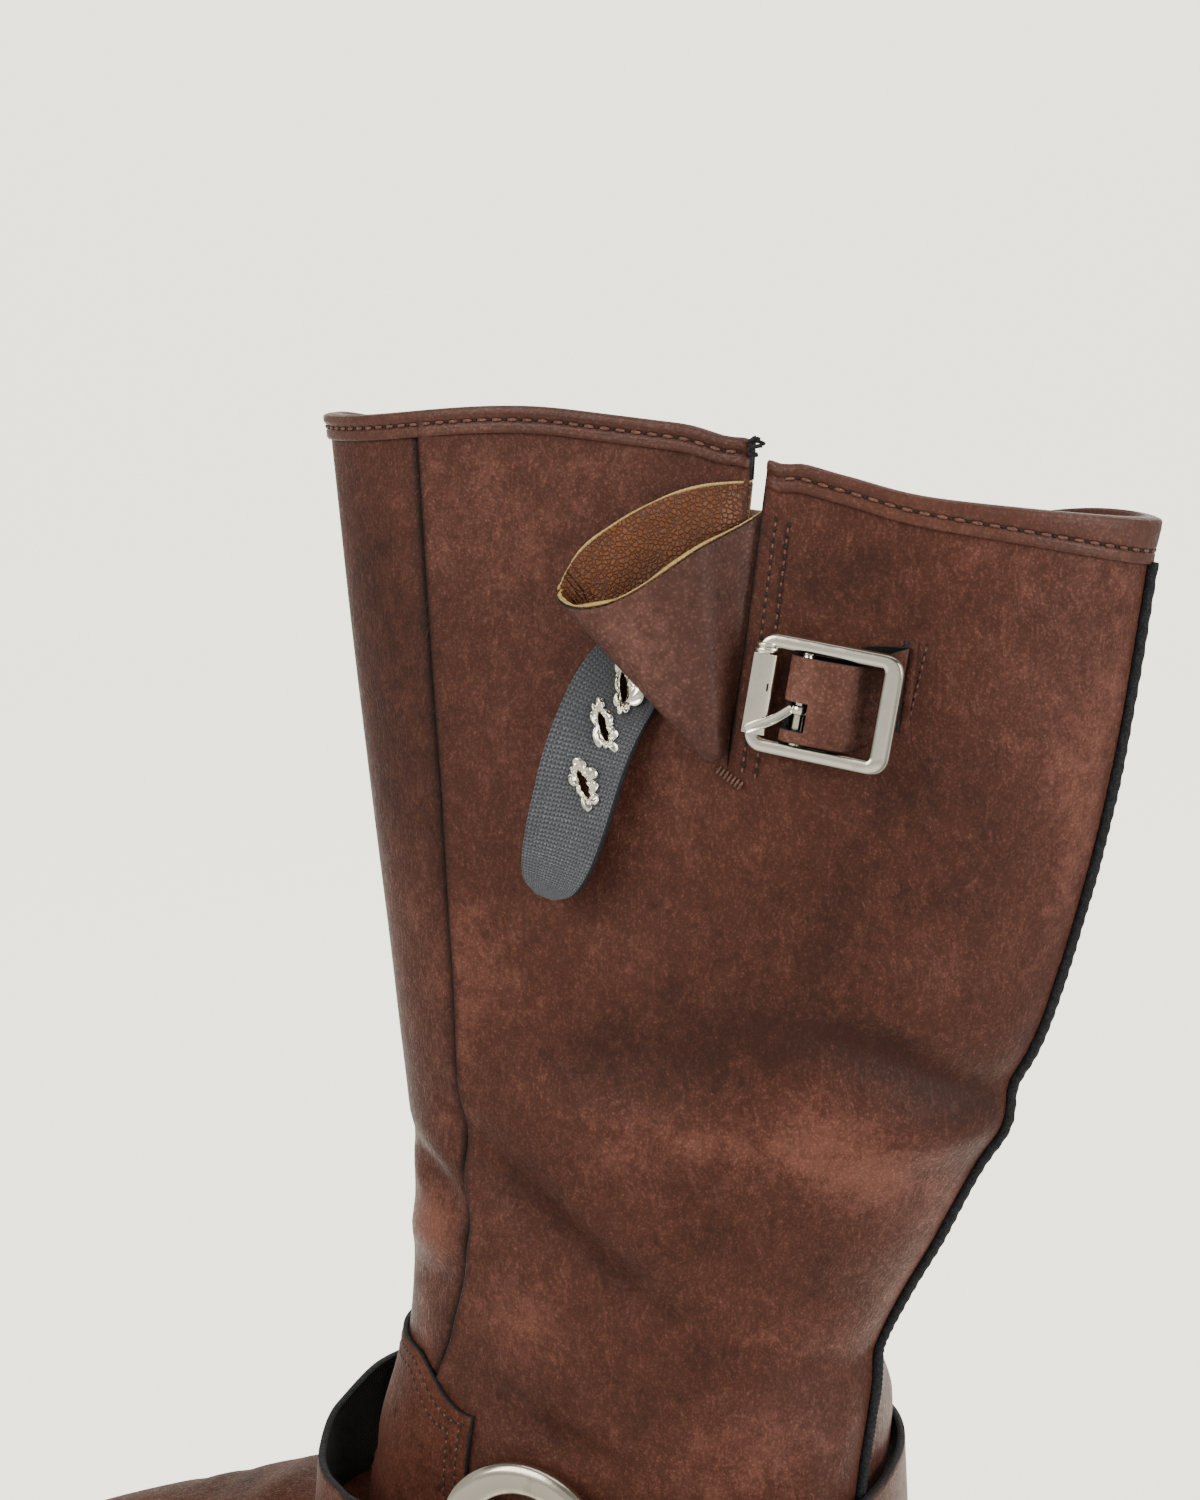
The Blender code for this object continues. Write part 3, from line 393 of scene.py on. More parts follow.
    def trace(self, spots: Sequence[Spot], count: int, lift: float = 0.0,
              side: Side = Side.OUTER) -> tuple[Points, Points]:
        """Line on one side through points of the side view.

        Args:
            spots: Points, x and z.
            count: How many points to return.
            lift: Height over the leather.
            side: Side of the boot.

        Returns:
            The line's points and the leather's normals there.
        """
        path = even_path(spots, count)
        u, v = self.locate(path[:, 0], path[:, 1], side)
        return self.skin(u, v, lift), self.normal(u, v)


def shaped_grid(columns: int, rows: int, place: Place, marks: Marks | None = None) -> bmesh.types.BMesh:
    """Grid with a UV map, bent to a form.

    Args:
        columns: Faces along a.
        rows: Faces along b.
        place: Points in millimetres for a and b, each from 0 to 1.
        marks: Values to keep on the vertices, by name.

    Returns:
        The bent grid, its faces towards a cross b.
    """
    bm = bmesh.new()
    bm.loops.layers.uv.new("UVMap")
    bmesh.ops.create_grid(bm, x_segments=columns, y_segments=rows, size=0.5, calc_uvs=True)
    flat = np.array([vert.co[:] for vert in bm.verts]) + 0.5
    for vert, point in zip(bm.verts, metres(place(flat[:, 0], flat[:, 1]))):
        vert.co = point
    for name, values in (marks(flat[:, 0], flat[:, 1]) if marks else {}).items():
        layer = bm.verts.layers.float.new(name)
        for vert, value in zip(bm.verts, values):
            vert[layer] = float(value)
    return bm


def pushed(place: Place, height: Callable[[Points, Points], Points]) -> Place:
    """A form moved along its own normals by a height that changes over it."""
    def moved(a: Points, b: Points) -> Points:
        """The moved form."""
        step = 0.004
        one = place(np.minimum(a + step, 1), b) - place(np.maximum(a - step, 0), b)
        two = place(a, np.minimum(b + step, 1)) - place(a, np.maximum(b - step, 0))
        out = np.cross(one, two)
        out = out / np.maximum(np.linalg.norm(out, axis=-1, keepdims=True), 1e-9)
        return place(a, b) + out * height(a, b)[:, None]
    return moved


def along_path(points: Points, profile: Points, first: Points, closed: bool = False) -> Place:
    """A bar of a given section along a path.

    Args:
        points: Path, in millimetres.
        profile: Closed section, its two numbers along the first axis and across it.
        first: First axis of the section at each point of the path.
        closed: Whether the path is a ring.

    Returns:
        The placer, with a along the path and b round the section.
    """
    way = np.roll(points, -1, 0) - np.roll(points, 1, 0) if closed else np.gradient(points, axis=0)
    second = unit(np.cross(unit(way), first))
    table = np.concatenate([points, first, second], 1)
    table = np.concatenate([table, table[:1]]) if closed else table
    ring = np.concatenate([profile, profile[:1]])

    def place(a: Points, b: Points) -> Points:
        """Point of the section at a share of the path."""
        row, spot = between(table, a), between(ring, b)
        return row[:, :3] + row[:, 3:6] * spot[:, :1] + row[:, 6:] * spot[:, 1:]
    return place


def oval(width: float, thick: float, power: float = 2.0, count: int = 16) -> Points:
    """Points of a closed oval section, squarer with a higher power."""
    c, s = circle(count)
    return np.stack([np.sign(c) * np.abs(c) ** (2 / power) * width / 2,
                     np.sign(s) * np.abs(s) ** (2 / power) * thick / 2], -1)


def close_ends(bm: bmesh.types.BMesh) -> None:
    """Welds a bent grid and fills its open ends."""
    bmesh.ops.remove_doubles(bm, verts=bm.verts, dist=WELD)
    bmesh.ops.holes_fill(bm, edges=[edge for edge in bm.edges if edge.is_boundary], sides=0)
    bmesh.ops.recalc_face_normals(bm, faces=bm.faces)


def bar(columns: int, rows: int, path: Points, profile: Points, first: Points, closed: bool = False,
        marks: Marks | None = None) -> bmesh.types.BMesh:
    """Solid bar of a given section along a path.

    Args:
        columns: Faces along it.
        rows: Faces round it.
        path: Path, in millimetres.
        profile: Closed section, its two numbers along the first axis and across it.
        first: First axis of the section, one for all points of the path or one for each.
        closed: Whether the path is a ring.
        marks: Values to keep on the vertices, by name.

    Returns:
        The welded bar.
    """
    axes = np.broadcast_to(first, path.shape)
    bm = shaped_grid(columns, rows, along_path(path, profile, axes, closed), marks)
    close_ends(bm)
    return bm


def circle(count: int) -> tuple[Points, Points]:
    """Cosines and sines of points once round."""
    turn = np.linspace(0, 2 * np.pi, count, endpoint=False)
    return np.cos(turn), np.sin(turn)


def join(bm: bmesh.types.BMesh, other: bmesh.types.BMesh) -> None:
    """Adds another bmesh to one, and frees it."""
    mesh = bpy.data.meshes.new("joined")
    other.to_mesh(mesh)
    other.free()
    bm.from_mesh(mesh)
    bpy.data.meshes.remove(mesh)


def add_piece(name: str, bm: bmesh.types.BMesh, finishes: Sequence[bpy.types.Material],
              nodes: Sequence[str] = (), body: str = BODY) -> bpy.types.Object:
    """Makes a piece of the boot from a bmesh and hands it to its body.

    Args:
        name: Piece's name.
        bm: Its mesh, freed here.
        finishes: Materials, by slot of the mesh.
        nodes: CAD nodes that it stands for.
        body: CAD body that it rides on.

    Returns:
        The piece.
    """
    bmesh.ops.remove_doubles(bm, verts=bm.verts, dist=WELD)
    mesh = bpy.data.meshes.new(name)
    bm.to_mesh(mesh)
    bm.free()
    for finish in finishes:
        mesh.materials.append(finish)
    mesh.polygons.foreach_set("use_smooth", np.full(len(mesh.polygons), True))
    piece = bpy.data.objects.new(name, mesh)
    bpy.context.scene.collection.objects.link(piece)
    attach(piece, body)
    if nodes:
        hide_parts(*nodes)
    LOG.info("%s: %d faces", name, len(mesh.polygons))
    return piece


def thicken(piece: bpy.types.Object, thickness: float, offset: float, back: int = 1, rim: int = 2) -> None:
    """Gives a sheet its thickness.

    Args:
        piece: The sheet.
        thickness: In millimetres.
        offset: -1 to keep the faces as the front, 1 as the back, 0 as the middle.
        back: Material slots to add for the back.
        rim: Material slots to add for the edges.
    """
    wall = piece.modifiers.new("thickness", "SOLIDIFY")
    wall.thickness = thickness * MM
    wall.offset = offset
    wall.use_quality_normals = True
    wall.material_offset = back
    wall.material_offset_rim = rim


def soften(piece: bpy.types.Object, width: float, segments: int = 2, angle: float = 40.0) -> None:
    """Rounds a piece's sharp edges, with a width in millimetres and an angle in degrees."""
    edge = piece.modifiers.new("soft_edges", "BEVEL")
    edge.width = width * MM
    edge.segments = segments
    edge.limit_method = "ANGLE"
    edge.angle_limit = math.radians(angle)
    edge.harden_normals = False


# Materials
# What a node's input takes: a number, a vector or colour, or another node's output
Value = float | Sequence[float] | bpy.types.NodeSocket


class Graph:
    """Short way to add and join the nodes of a material or a node group."""

    def __init__(self, tree: bpy.types.NodeTree) -> None:
        """Works on a node tree."""
        self.tree = tree

    def add(self, kind: str, settings: dict | None = None, **sockets: Value) -> bpy.types.Node:
        """Adds a node.

        Args:
            kind: Node's type.
            settings: Values of its own properties.
            **sockets: Inputs by name, spaces as underscores: a number, a colour or another node's socket.

        Returns:
            The node.
        """
        node = self.tree.nodes.new(kind)
        for name, value in (settings or {}).items():
            setattr(node, name, value)
        for name, value in sockets.items():
            self.feed(node.inputs[name.replace("_", " ")], value)
        return node

    def feed(self, socket: bpy.types.NodeSocket, value: Value) -> None:
        """Sets a socket or joins another node's socket to it."""
        if isinstance(value, bpy.types.NodeSocket):
            self.tree.links.new(value, socket)
        else:
            socket.default_value = value

    def math(self, operation: str, one: Value, two: Value = 0.0, clamp: bool = False) -> bpy.types.NodeSocket:
        """Result of a sum, product or other operation on two values."""
        node = self.tree.nodes.new("ShaderNodeMath")
        node.operation = operation
        node.use_clamp = clamp
        self.feed(node.inputs[0], one)
        self.feed(node.inputs[1], two)
        return node.outputs[0]

    def times(self, one: Value, two: Value) -> bpy.types.NodeSocket:
        """Product of two values."""
        return self.math("MULTIPLY", one, two)

    def weigh(self, *terms: tuple[Value, Value]) -> bpy.types.NodeSocket:
        """Sum of values, each given with its weight."""
        total = 0.0
        for value, weight in terms:
            total = self.math("ADD", total, self.times(value, weight))
        return total

    def step(self, value: Value, low: Value, high: Value, to_low: Value = 0.0,
             to_high: Value = 1.0) -> bpy.types.NodeSocket:
        """Smooth step of a value from low to high."""
        node = self.add("ShaderNodeMapRange", {"interpolation_type": "SMOOTHSTEP"}, Value=value)
        for name, number in (("From Min", low), ("From Max", high), ("To Min", to_low), ("To Max", to_high)):
            self.feed(node.inputs[name], number)
        return node.outputs["Result"]

    def mix(self, share: Value, one: Value, two: Value) -> bpy.types.NodeSocket:
        """Mix of two colours."""
        node = self.tree.nodes.new("ShaderNodeMix")
        node.data_type = "RGBA"
        self.feed(node.inputs[0], share)
        self.feed(node.inputs[6], one)
        self.feed(node.inputs[7], two)
        return node.outputs[2]

    def noise(self, vector: Value, scale: Value, detail: float = 2.0, roughness: float = 0.5,
              distortion: float = 0.0) -> bpy.types.NodeSocket:
        """Noise from about 0 to 1."""
        return self.add("ShaderNodeTexNoise", {"normalize": True}, Vector=vector, Scale=scale, Detail=detail,
                        Roughness=roughness, Distortion=distortion).outputs["Fac"]

    def streaked(self, vector: Value, squeeze: float, lean: float) -> bpy.types.NodeSocket:
        """Coordinates squeezed along Z after a lean about Y, in degrees, for streaks along Z."""
        return self.add("ShaderNodeMapping", Vector=vector, Scale=(1.0, 1.0, squeeze),
                        Rotation=(0.0, math.radians(lean), 0.0)).outputs[0]

    def mark(self, name: str) -> bpy.types.NodeSocket:
        """Value kept on the piece's vertices under a name, 0 where there is none."""
        return self.add("ShaderNodeAttribute", {"attribute_name": name}).outputs["Fac"]


def effect(name: str, inputs: dict[str, str], outputs: dict[str, str]) -> tuple[Graph, dict, bpy.types.Node]:
    """Starts a shader node group.

    Args:
        name: Group's name.
        inputs: Socket types by name.
        outputs: Socket types by name.

    Returns:
        The group's graph, its input sockets by name and its output node.
    """
    group = bpy.data.node_groups.new(name, "ShaderNodeTree")
    for direction, sockets in (("INPUT", inputs), ("OUTPUT", outputs)):
        for socket, kind in sockets.items():
            group.interface.new_socket(socket, in_out=direction, socket_type="NodeSocket" + kind)
    start = group.nodes.new("NodeGroupInput")
    end = group.nodes.new("NodeGroupOutput")
    return Graph(group), {name: start.outputs[name] for name in inputs}, end


def grain_effect() -> bpy.types.NodeTree:
    """Pebbled grain with pores and short nap strokes: a height and a mask of rubbed tips."""
    graph, given, end = effect("grain", {"Vector": "Vector", "Pebble": "Float", "Nap": "Float"},
                               {"Height": "Float", "Tips": "Float", "Strokes": "Float"})
    vector = given["Vector"]
    wander = graph.add("ShaderNodeTexNoise", {"normalize": True}, Vector=vector, Scale=70.0, Detail=2.0)
    drift = graph.add("ShaderNodeVectorMath", {"operation": "SCALE"}, Vector=wander.outputs["Color"],
                      Scale=0.011)
    moved = graph.add("ShaderNodeVectorMath", {"operation": "ADD"})
    graph.feed(moved.inputs[0], vector)
    graph.feed(moved.inputs[1], drift.outputs[0])
    cells = graph.add("ShaderNodeTexVoronoi", {"feature": "SMOOTH_F1"}, Vector=vector,
                      Scale=given["Pebble"], Smoothness=0.55, Randomness=1.0)
    pebble = graph.math("SUBTRACT", 1.0, cells.outputs["Distance"])
    fine = graph.noise(vector, graph.times(given["Pebble"], 1.7), 3.0, 0.6)
    # Strokes of the nap: squeeze, lean in degrees and number in a metre, for each way that they lie
    ways = ((0.26, 28.0, 1050.0), (0.24, -24.0, 950.0))
    laid = [graph.noise(graph.streaked(moved.outputs[0], squeeze, lean), number, 2.0, 0.6)
            for squeeze, lean, number in ways]
    strokes = graph.step(graph.math("MAXIMUM", *laid), 0.53, 0.72)
    body = graph.weigh((pebble, 0.55), (fine, 0.45))
    graph.feed(end.inputs["Height"], graph.weigh((body, 1.0), (graph.times(strokes, given["Nap"]), 0.5)))
    graph.feed(end.inputs["Tips"], graph.step(body, 0.50, 0.74))
    graph.feed(end.inputs["Strokes"], strokes)
    return graph.tree


def mottle_effect() -> bpy.types.NodeTree:
    """Uneven dye with painted light and shade: three colours mixed by clouds of several sizes and by a given
    tone, which paints light and shade beside rubbed wax.
    """
    graph, given, end = effect(
        "mottle", {"Vector": "Vector", "Cloud": "Float", "Tone": "Float", "Dark": "Color", "Mid": "Color",
                   "Light": "Color"}, {"Color": "Color", "Tone": "Float"})
    # Clouds of each size: number for each large one, detail, roughness, distortion and weight
    sizes = ((1.0, 2.0, 0.5, 0.6, 0.46), (3.2, 3.0, 0.6, 0.8, 0.40), (13.0, 3.0, 0.65, 0.0, 0.52),
             (46.0, 3.0, 0.7, 0.0, 0.46))
    clouds = [(graph.noise(given["Vector"], graph.times(given["Cloud"], number), *texture), weight)
              for number, *texture, weight in sizes]
    level = graph.math("SUBTRACT", graph.weigh(*clouds), 0.43)
    tone = graph.math("ADD", level, given["Tone"], clamp=True)
    lower = graph.mix(graph.step(tone, 0.26, 0.52), given["Dark"], given["Mid"])
    graph.feed(end.inputs["Color"], graph.mix(graph.step(tone, 0.50, 1.0), lower, given["Light"]))
    graph.feed(end.inputs["Tone"], tone)
    return graph.tree


def scuff_effect() -> bpy.types.NodeTree:
    """Sparse pale flecks and short fine lines."""
    graph, given, end = effect("scuffs", {"Vector": "Vector", "Amount": "Float"}, {"Mask": "Float"})
    flecks = graph.noise(given["Vector"], 620.0, 2.0, 0.5)
    here = graph.step(graph.noise(given["Vector"], 62.0, 2.0, 0.6), 0.52, 0.70)
    lines = graph.noise(graph.streaked(given["Vector"], 0.12, 62.0), 420.0, 2.0, 0.5, 0.4)
    mask = graph.weigh((graph.step(flecks, 0.72, 0.78), 1.0), (graph.step(lines, 0.70, 0.78), 0.5))
    mask = graph.math("MULTIPLY", graph.times(mask, here), given["Amount"], clamp=True)
    graph.feed(end.inputs["Mask"], mask)
    return graph.tree


def yarn_effect() -> bpy.types.NodeTree:
    """Rows of yarn loops: a height and a mask of the loops' tops."""
    graph, given, end = effect("yarn", {"Vector": "Vector", "Across": "Float", "Along": "Float"},
                               {"Height": "Float", "Tops": "Float"})
    apart = graph.add("ShaderNodeSeparateXYZ", Vector=given["Vector"])
    one = graph.times(apart.outputs[0], given["Along"])
    two = graph.times(apart.outputs[1], given["Across"])
    uneven = graph.noise(given["Vector"], 26.0, 3.0, 0.6)
    bend = graph.math("PINGPONG", two, 0.5)
    rows = graph.weigh((one, 1.0), (bend, 0.9), (uneven, 1.0))
    wales = graph.weigh((two, 1.0), (uneven, 0.5))
    waves = [graph.math("SINE", graph.times(turns, math.tau)) for turns in (rows, wales)]
    height = graph.math("ADD", graph.weigh((waves[0], 0.30), (waves[1], 0.20)), 0.5)
    graph.feed(end.inputs["Height"], height)
    graph.feed(end.inputs["Tops"], graph.step(height, 0.45, 0.85))
    return graph.tree


class Effects:
    """The shared node groups, each built once."""

    grain: bpy.types.NodeTree
    mottle: bpy.types.NodeTree
    scuffs: bpy.types.NodeTree
    yarn: bpy.types.NodeTree

    @classmethod
    def build(cls) -> None:
        """Builds the groups."""
        cls.grain = grain_effect()
        cls.mottle = mottle_effect()
        cls.scuffs = scuff_effect()
        cls.yarn = yarn_effect()


Colour = tuple[float, float, float, float]


def colour(red: float, green: float, blue: float) -> Colour:
    """Colour of full strength, in linear light."""
    return (red, green, blue, 1.0)


# Colours that several finishes share
SEAM_SHADOW = colour(0.006, 0.004, 0.004)
SCUFFED = colour(0.34, 0.19, 0.14)
RAW_RIM = colour(0.62, 0.44, 0.15)
# Dark colour painted along the buckle frame's edges as its dark reflections
PAINTED_DARK_REFLECTION = colour(0.10, 0.082, 0.055)
DUST = colour(0.22, 0.19, 0.17)


def start_material(name: str) -> tuple[bpy.types.Material, Graph, bpy.types.Node, bpy.types.NodeSocket]:
    """Starts a material.

    Args:
        name: Material's name.

    Returns:
        The material, its graph, its shader and the piece's coordinates.
    """
    made = bpy.data.materials.new(name)
    made.use_nodes = True
    graph = Graph(made.node_tree)
    shader = made.node_tree.nodes["Principled BSDF"]
    place = graph.add("ShaderNodeTexCoord")
    return made, graph, shader, place.outputs["Object"]


def grouped(graph: Graph, tree: bpy.types.NodeTree, **sockets: Value) -> bpy.types.Node:
    """Places a shared effect in a material."""
    return graph.add("ShaderNodeGroup", {"node_tree": tree}, **sockets)


def bumped(graph: Graph, shader: bpy.types.Node, height: Value, depth: float) -> None:
    """Feeds a height, in millimetres at its full, to a shader's normal."""
    bump = graph.add("ShaderNodeBump", Strength=1.0, Distance=depth * MM, Height=height)
    graph.feed(shader.inputs["Normal"], bump.outputs[0])


@dataclass(frozen=True)
class Leather:
    """Waxed leather with mottled dye, pebbled grain and a short nap; its tone also paints light and shade.

    Attributes:
        name: Material's name.
        dark: Colour in the hollows of the dye, and of painted shade.
        mid: Usual colour.
        light: Colour where the wax is rubbed, and of painted light.
        pebble: Grains in a metre.
        depth: Depth of the grain, in millimetres.
        nap: Strength of the nap strokes.
        gloss: Lowest roughness.
        cloud: Clouds of dye in a metre.
        specular: Strength of the shine.
    """

    name: str
    dark: Colour = colour(0.042, 0.0145, 0.0090)
    mid: Colour = colour(0.090, 0.0290, 0.0172)
    light: Colour = colour(0.29, 0.110, 0.0740)
    pebble: float = 1500.0
    depth: float = 0.13
    nap: float = 1.0
    gloss: float = 0.38
    cloud: float = 17.0
    specular: float = 0.17

    def material(self) -> bpy.types.Material:
        """Makes the material."""
        made, graph, shader, place = start_material(self.name)
        grain = grouped(graph, Effects.grain, Vector=place, Pebble=self.pebble, Nap=self.nap)
        dye = grouped(graph, Effects.mottle, Vector=place, Cloud=self.cloud, Tone=graph.mark("tone"),
                      Dark=self.dark, Mid=self.mid, Light=self.light)
        scuffs = grouped(graph, Effects.scuffs, Vector=place, Amount=0.55)
        tips = graph.times(grain.outputs["Tips"], dye.outputs["Tone"])
        # The tone carries painted light as well as rubbed wax, so tips and nap are lightened more where light
        # is painted
        worn_and_lit = graph.step(dye.outputs["Tone"], 0.20, 0.70, 0.06, 0.34)
        rubbed_and_lit = graph.weigh((tips, 0.30), (graph.times(grain.outputs["Strokes"], worn_and_lit), self.nap))
        shade = graph.mix(rubbed_and_lit, dye.outputs["Color"], self.light)
        pores = graph.math("SUBTRACT", 1.0, grain.outputs["Tips"])
        shade = graph.mix(graph.times(pores, 0.40), shade, self.dark)
        shade = graph.mix(graph.times(scuffs.outputs["Mask"], 0.55), shade, SCUFFED)
        shade = graph.mix(graph.mark("seam"), shade, SEAM_SHADOW)
        graph.feed(shader.inputs["Base Color"], shade)
        rough = graph.step(grain.outputs["Height"], 0.3, 1.0, self.gloss + 0.20, self.gloss)
        graph.feed(shader.inputs["Roughness"], rough)
        shader.inputs["Specular IOR Level"].default_value = self.specular
        shader.inputs["Sheen Weight"].default_value = 0.02
        shader.inputs["Sheen Roughness"].default_value = 0.45
        bumped(graph, shader, grain.outputs["Height"], self.depth)
        return made


@dataclass(frozen=True)
class Lining:
    """Lining leather of one dye with wrinkled pebbles.

    Attributes:
        name: Material's name.
        dark: Colour of the wrinkles.
        light: Colour of the pebbles.
        pebble: Pebbles in a metre.
        depth: Depth of the wrinkles, in millimetres.
    """

    name: str
    dark: Colour
    light: Colour
    pebble: float = 620.0
    depth: float = 0.22

    def material(self) -> bpy.types.Material:
        """Makes the material."""
        made, graph, shader, place = start_material(self.name)
        cells = graph.add("ShaderNodeTexVoronoi", {"feature": "DISTANCE_TO_EDGE"}, Vector=place,
                          Scale=self.pebble)
        pebble = graph.step(cells.outputs["Distance"], 0.0, 0.22)
        wide = graph.noise(place, self.pebble * 0.12, 3.0)
        grain = grouped(graph, Effects.grain, Vector=place, Pebble=self.pebble * 2.6, Nap=0.0)
        share = graph.times(pebble, graph.step(wide, 0.25, 0.75, 0.45, 1.0))
        shade = graph.mix(share, self.dark, self.light)
        shade = graph.mix(graph.mark("seam"), shade, SEAM_SHADOW)
        shade = graph.mix(graph.mark("rim"), shade, RAW_RIM)
        graph.feed(shader.inputs["Base Color"], shade)
        graph.feed(shader.inputs["Roughness"], graph.step(pebble, 0.0, 1.0, 0.62, 0.42))
        bumped(graph, shader, graph.weigh((pebble, 1.0), (grain.outputs["Height"], 0.35)), self.depth)
        return made


@dataclass(frozen=True)
class Fabric:
    """Knitted or woven backing on the piece's own UV map.

    Attributes:
        name: Material's name.
        hollow: Colour between the yarns.
        yarn: Colour of the yarn.
        tip: Colour of its raised tops.
        along: Rows of loops along the piece.
        across: Loops across it.
        depth: Depth of the loops, in millimetres.
        sheen: Strength of its fuzz.
    """

    name: str
    hollow: Colour
    yarn: Colour
    tip: Colour
    along: float
    across: float
    depth: float = 0.25
    sheen: float = 0.35

    def material(self) -> bpy.types.Material:
        """Makes the material."""
        made, graph, shader, place = start_material(self.name)
        chart = graph.add("ShaderNodeUVMap", {"uv_map": "UVMap"}).outputs[0]
        yarn = grouped(graph, Effects.yarn, Vector=chart, Along=self.along, Across=self.across)
        fuzz = graph.noise(place, 1700.0, 3.0, 0.7)
        wide = graph.noise(place, 90.0, 2.0)
        shade = graph.mix(graph.step(yarn.outputs["Height"], 0.15, 0.65), self.hollow, self.yarn)
        tops = graph.times(yarn.outputs["Tops"], graph.step(fuzz, 0.36, 0.70))
        shade = graph.mix(tops, shade, self.tip)
        shade = graph.mix(graph.step(wide, 0.40, 0.75, 0.0, 0.35), shade, self.hollow)
        shade = graph.mix(graph.mark("shade"), shade, self.hollow)
        graph.feed(shader.inputs["Base Color"], shade)
        graph.feed(shader.inputs["Roughness"], graph.step(fuzz, 0.2, 0.8, 0.95, 0.78))
        shader.inputs["Sheen Weight"].default_value = self.sheen
        shader.inputs["Specular IOR Level"].default_value = 0.2
        bumped(graph, shader, graph.weigh((yarn.outputs["Height"], 1.0), (fuzz, 0.5)), self.depth)
        return made


@dataclass(frozen=True)
class Metal:
    """Plated metal with a soft polish, faint handling marks and dark reflections painted along the edges that
    a piece marks.

    Attributes:
        name: Material's name.
        bright: Colour of the plate.
        tarnish: Colour where it is dulled.
        gloss: Lowest roughness.
        depth: Depth of its unevenness, in millimetres.
    """

    name: str
    bright: Colour = colour(1.0, 0.95, 0.80)
    tarnish: Colour = colour(0.62, 0.55, 0.43)
    gloss: float = 0.13
    depth: float = 0.02

    def material(self) -> bpy.types.Material:
        """Makes the material."""
        made, graph, shader, place = start_material(self.name)
        cloud = graph.noise(place, 190.0, 4.0, 0.6, 0.5)
        scuffs = grouped(graph, Effects.scuffs, Vector=place, Amount=1.0)
        hair = graph.noise(graph.streaked(place, 0.05, 18.0), 2600.0, 2.0)
        shade = graph.mix(graph.step(cloud, 0.50, 0.80), self.bright, self.tarnish)
        # Dark reflections painted along the edges that a piece marks, as on the buckle frame's bevels
        shade = graph.mix(graph.times(graph.mark("seam"), 0.8), shade, PAINTED_DARK_REFLECTION)
        graph.feed(shader.inputs["Base Color"], shade)
        shader.inputs["Metallic"].default_value = 1.0
        clean = graph.step(cloud, 0.35, 0.85, self.gloss, self.gloss + 0.16)
        graph.feed(shader.inputs["Roughness"], graph.weigh((clean, 1.0), (scuffs.outputs["Mask"], 0.2)))
        bumped(graph, shader, graph.weigh((cloud, 1.0), (hair, 0.15)), self.depth)
        return made


@dataclass(frozen=True)
class Plain:
    """Rubber, thread, cord or cut edge: one colour broken up by its fibres or grit.

    Attributes:
        name: Material's name.
        dark: Colour of the hollows.
        light: Colour of the raised spots.
        grit: Spots in a metre.
        depth: Depth of the grit, in millimetres.
        rough: Usual roughness.
        layers: Layers in a metre of height, 0 for none.
    """

    name: str
    dark: Colour
    light: Colour
    grit: float = 1500.0
    depth: float = 0.12
    rough: float = 0.75
    layers: float = 0.0

    def material(self) -> bpy.types.Material:
        """Makes the material."""
        made, graph, shader, place = start_material(self.name)
        grit = graph.noise(place, self.grit, 3.0, 0.65)
        wide = graph.noise(place, self.grit * 0.06, 3.0)
        share = graph.times(graph.step(grit, 0.35, 0.70), graph.step(wide, 0.25, 0.75, 0.5, 1.0))
        shade = graph.mix(share, self.dark, self.light)
        height = grit
        if self.layers:
            level = graph.add("ShaderNodeSeparateXYZ", Vector=place).outputs[2]
            wavy = graph.weigh((level, 1.0), (graph.noise(place, 60.0), 1.2 * MM))
            line = graph.step(graph.math("PINGPONG", graph.times(wavy, self.layers), 0.5), 0.0, 0.09)
            shade = graph.mix(line, self.dark, shade)
            height = graph.weigh((height, 1.0), (line, 2.0))
        scuffs = grouped(graph, Effects.scuffs, Vector=place, Amount=0.5)
        shade = graph.mix(graph.times(scuffs.outputs["Mask"], 0.3), shade, DUST)
        graph.feed(shader.inputs["Base Color"], shade)
        rough = graph.step(grit, 0.2, 0.8, self.rough + 0.12, self.rough - 0.08)
        graph.feed(shader.inputs["Roughness"], rough)
        bumped(graph, shader, height, self.depth)
        return made


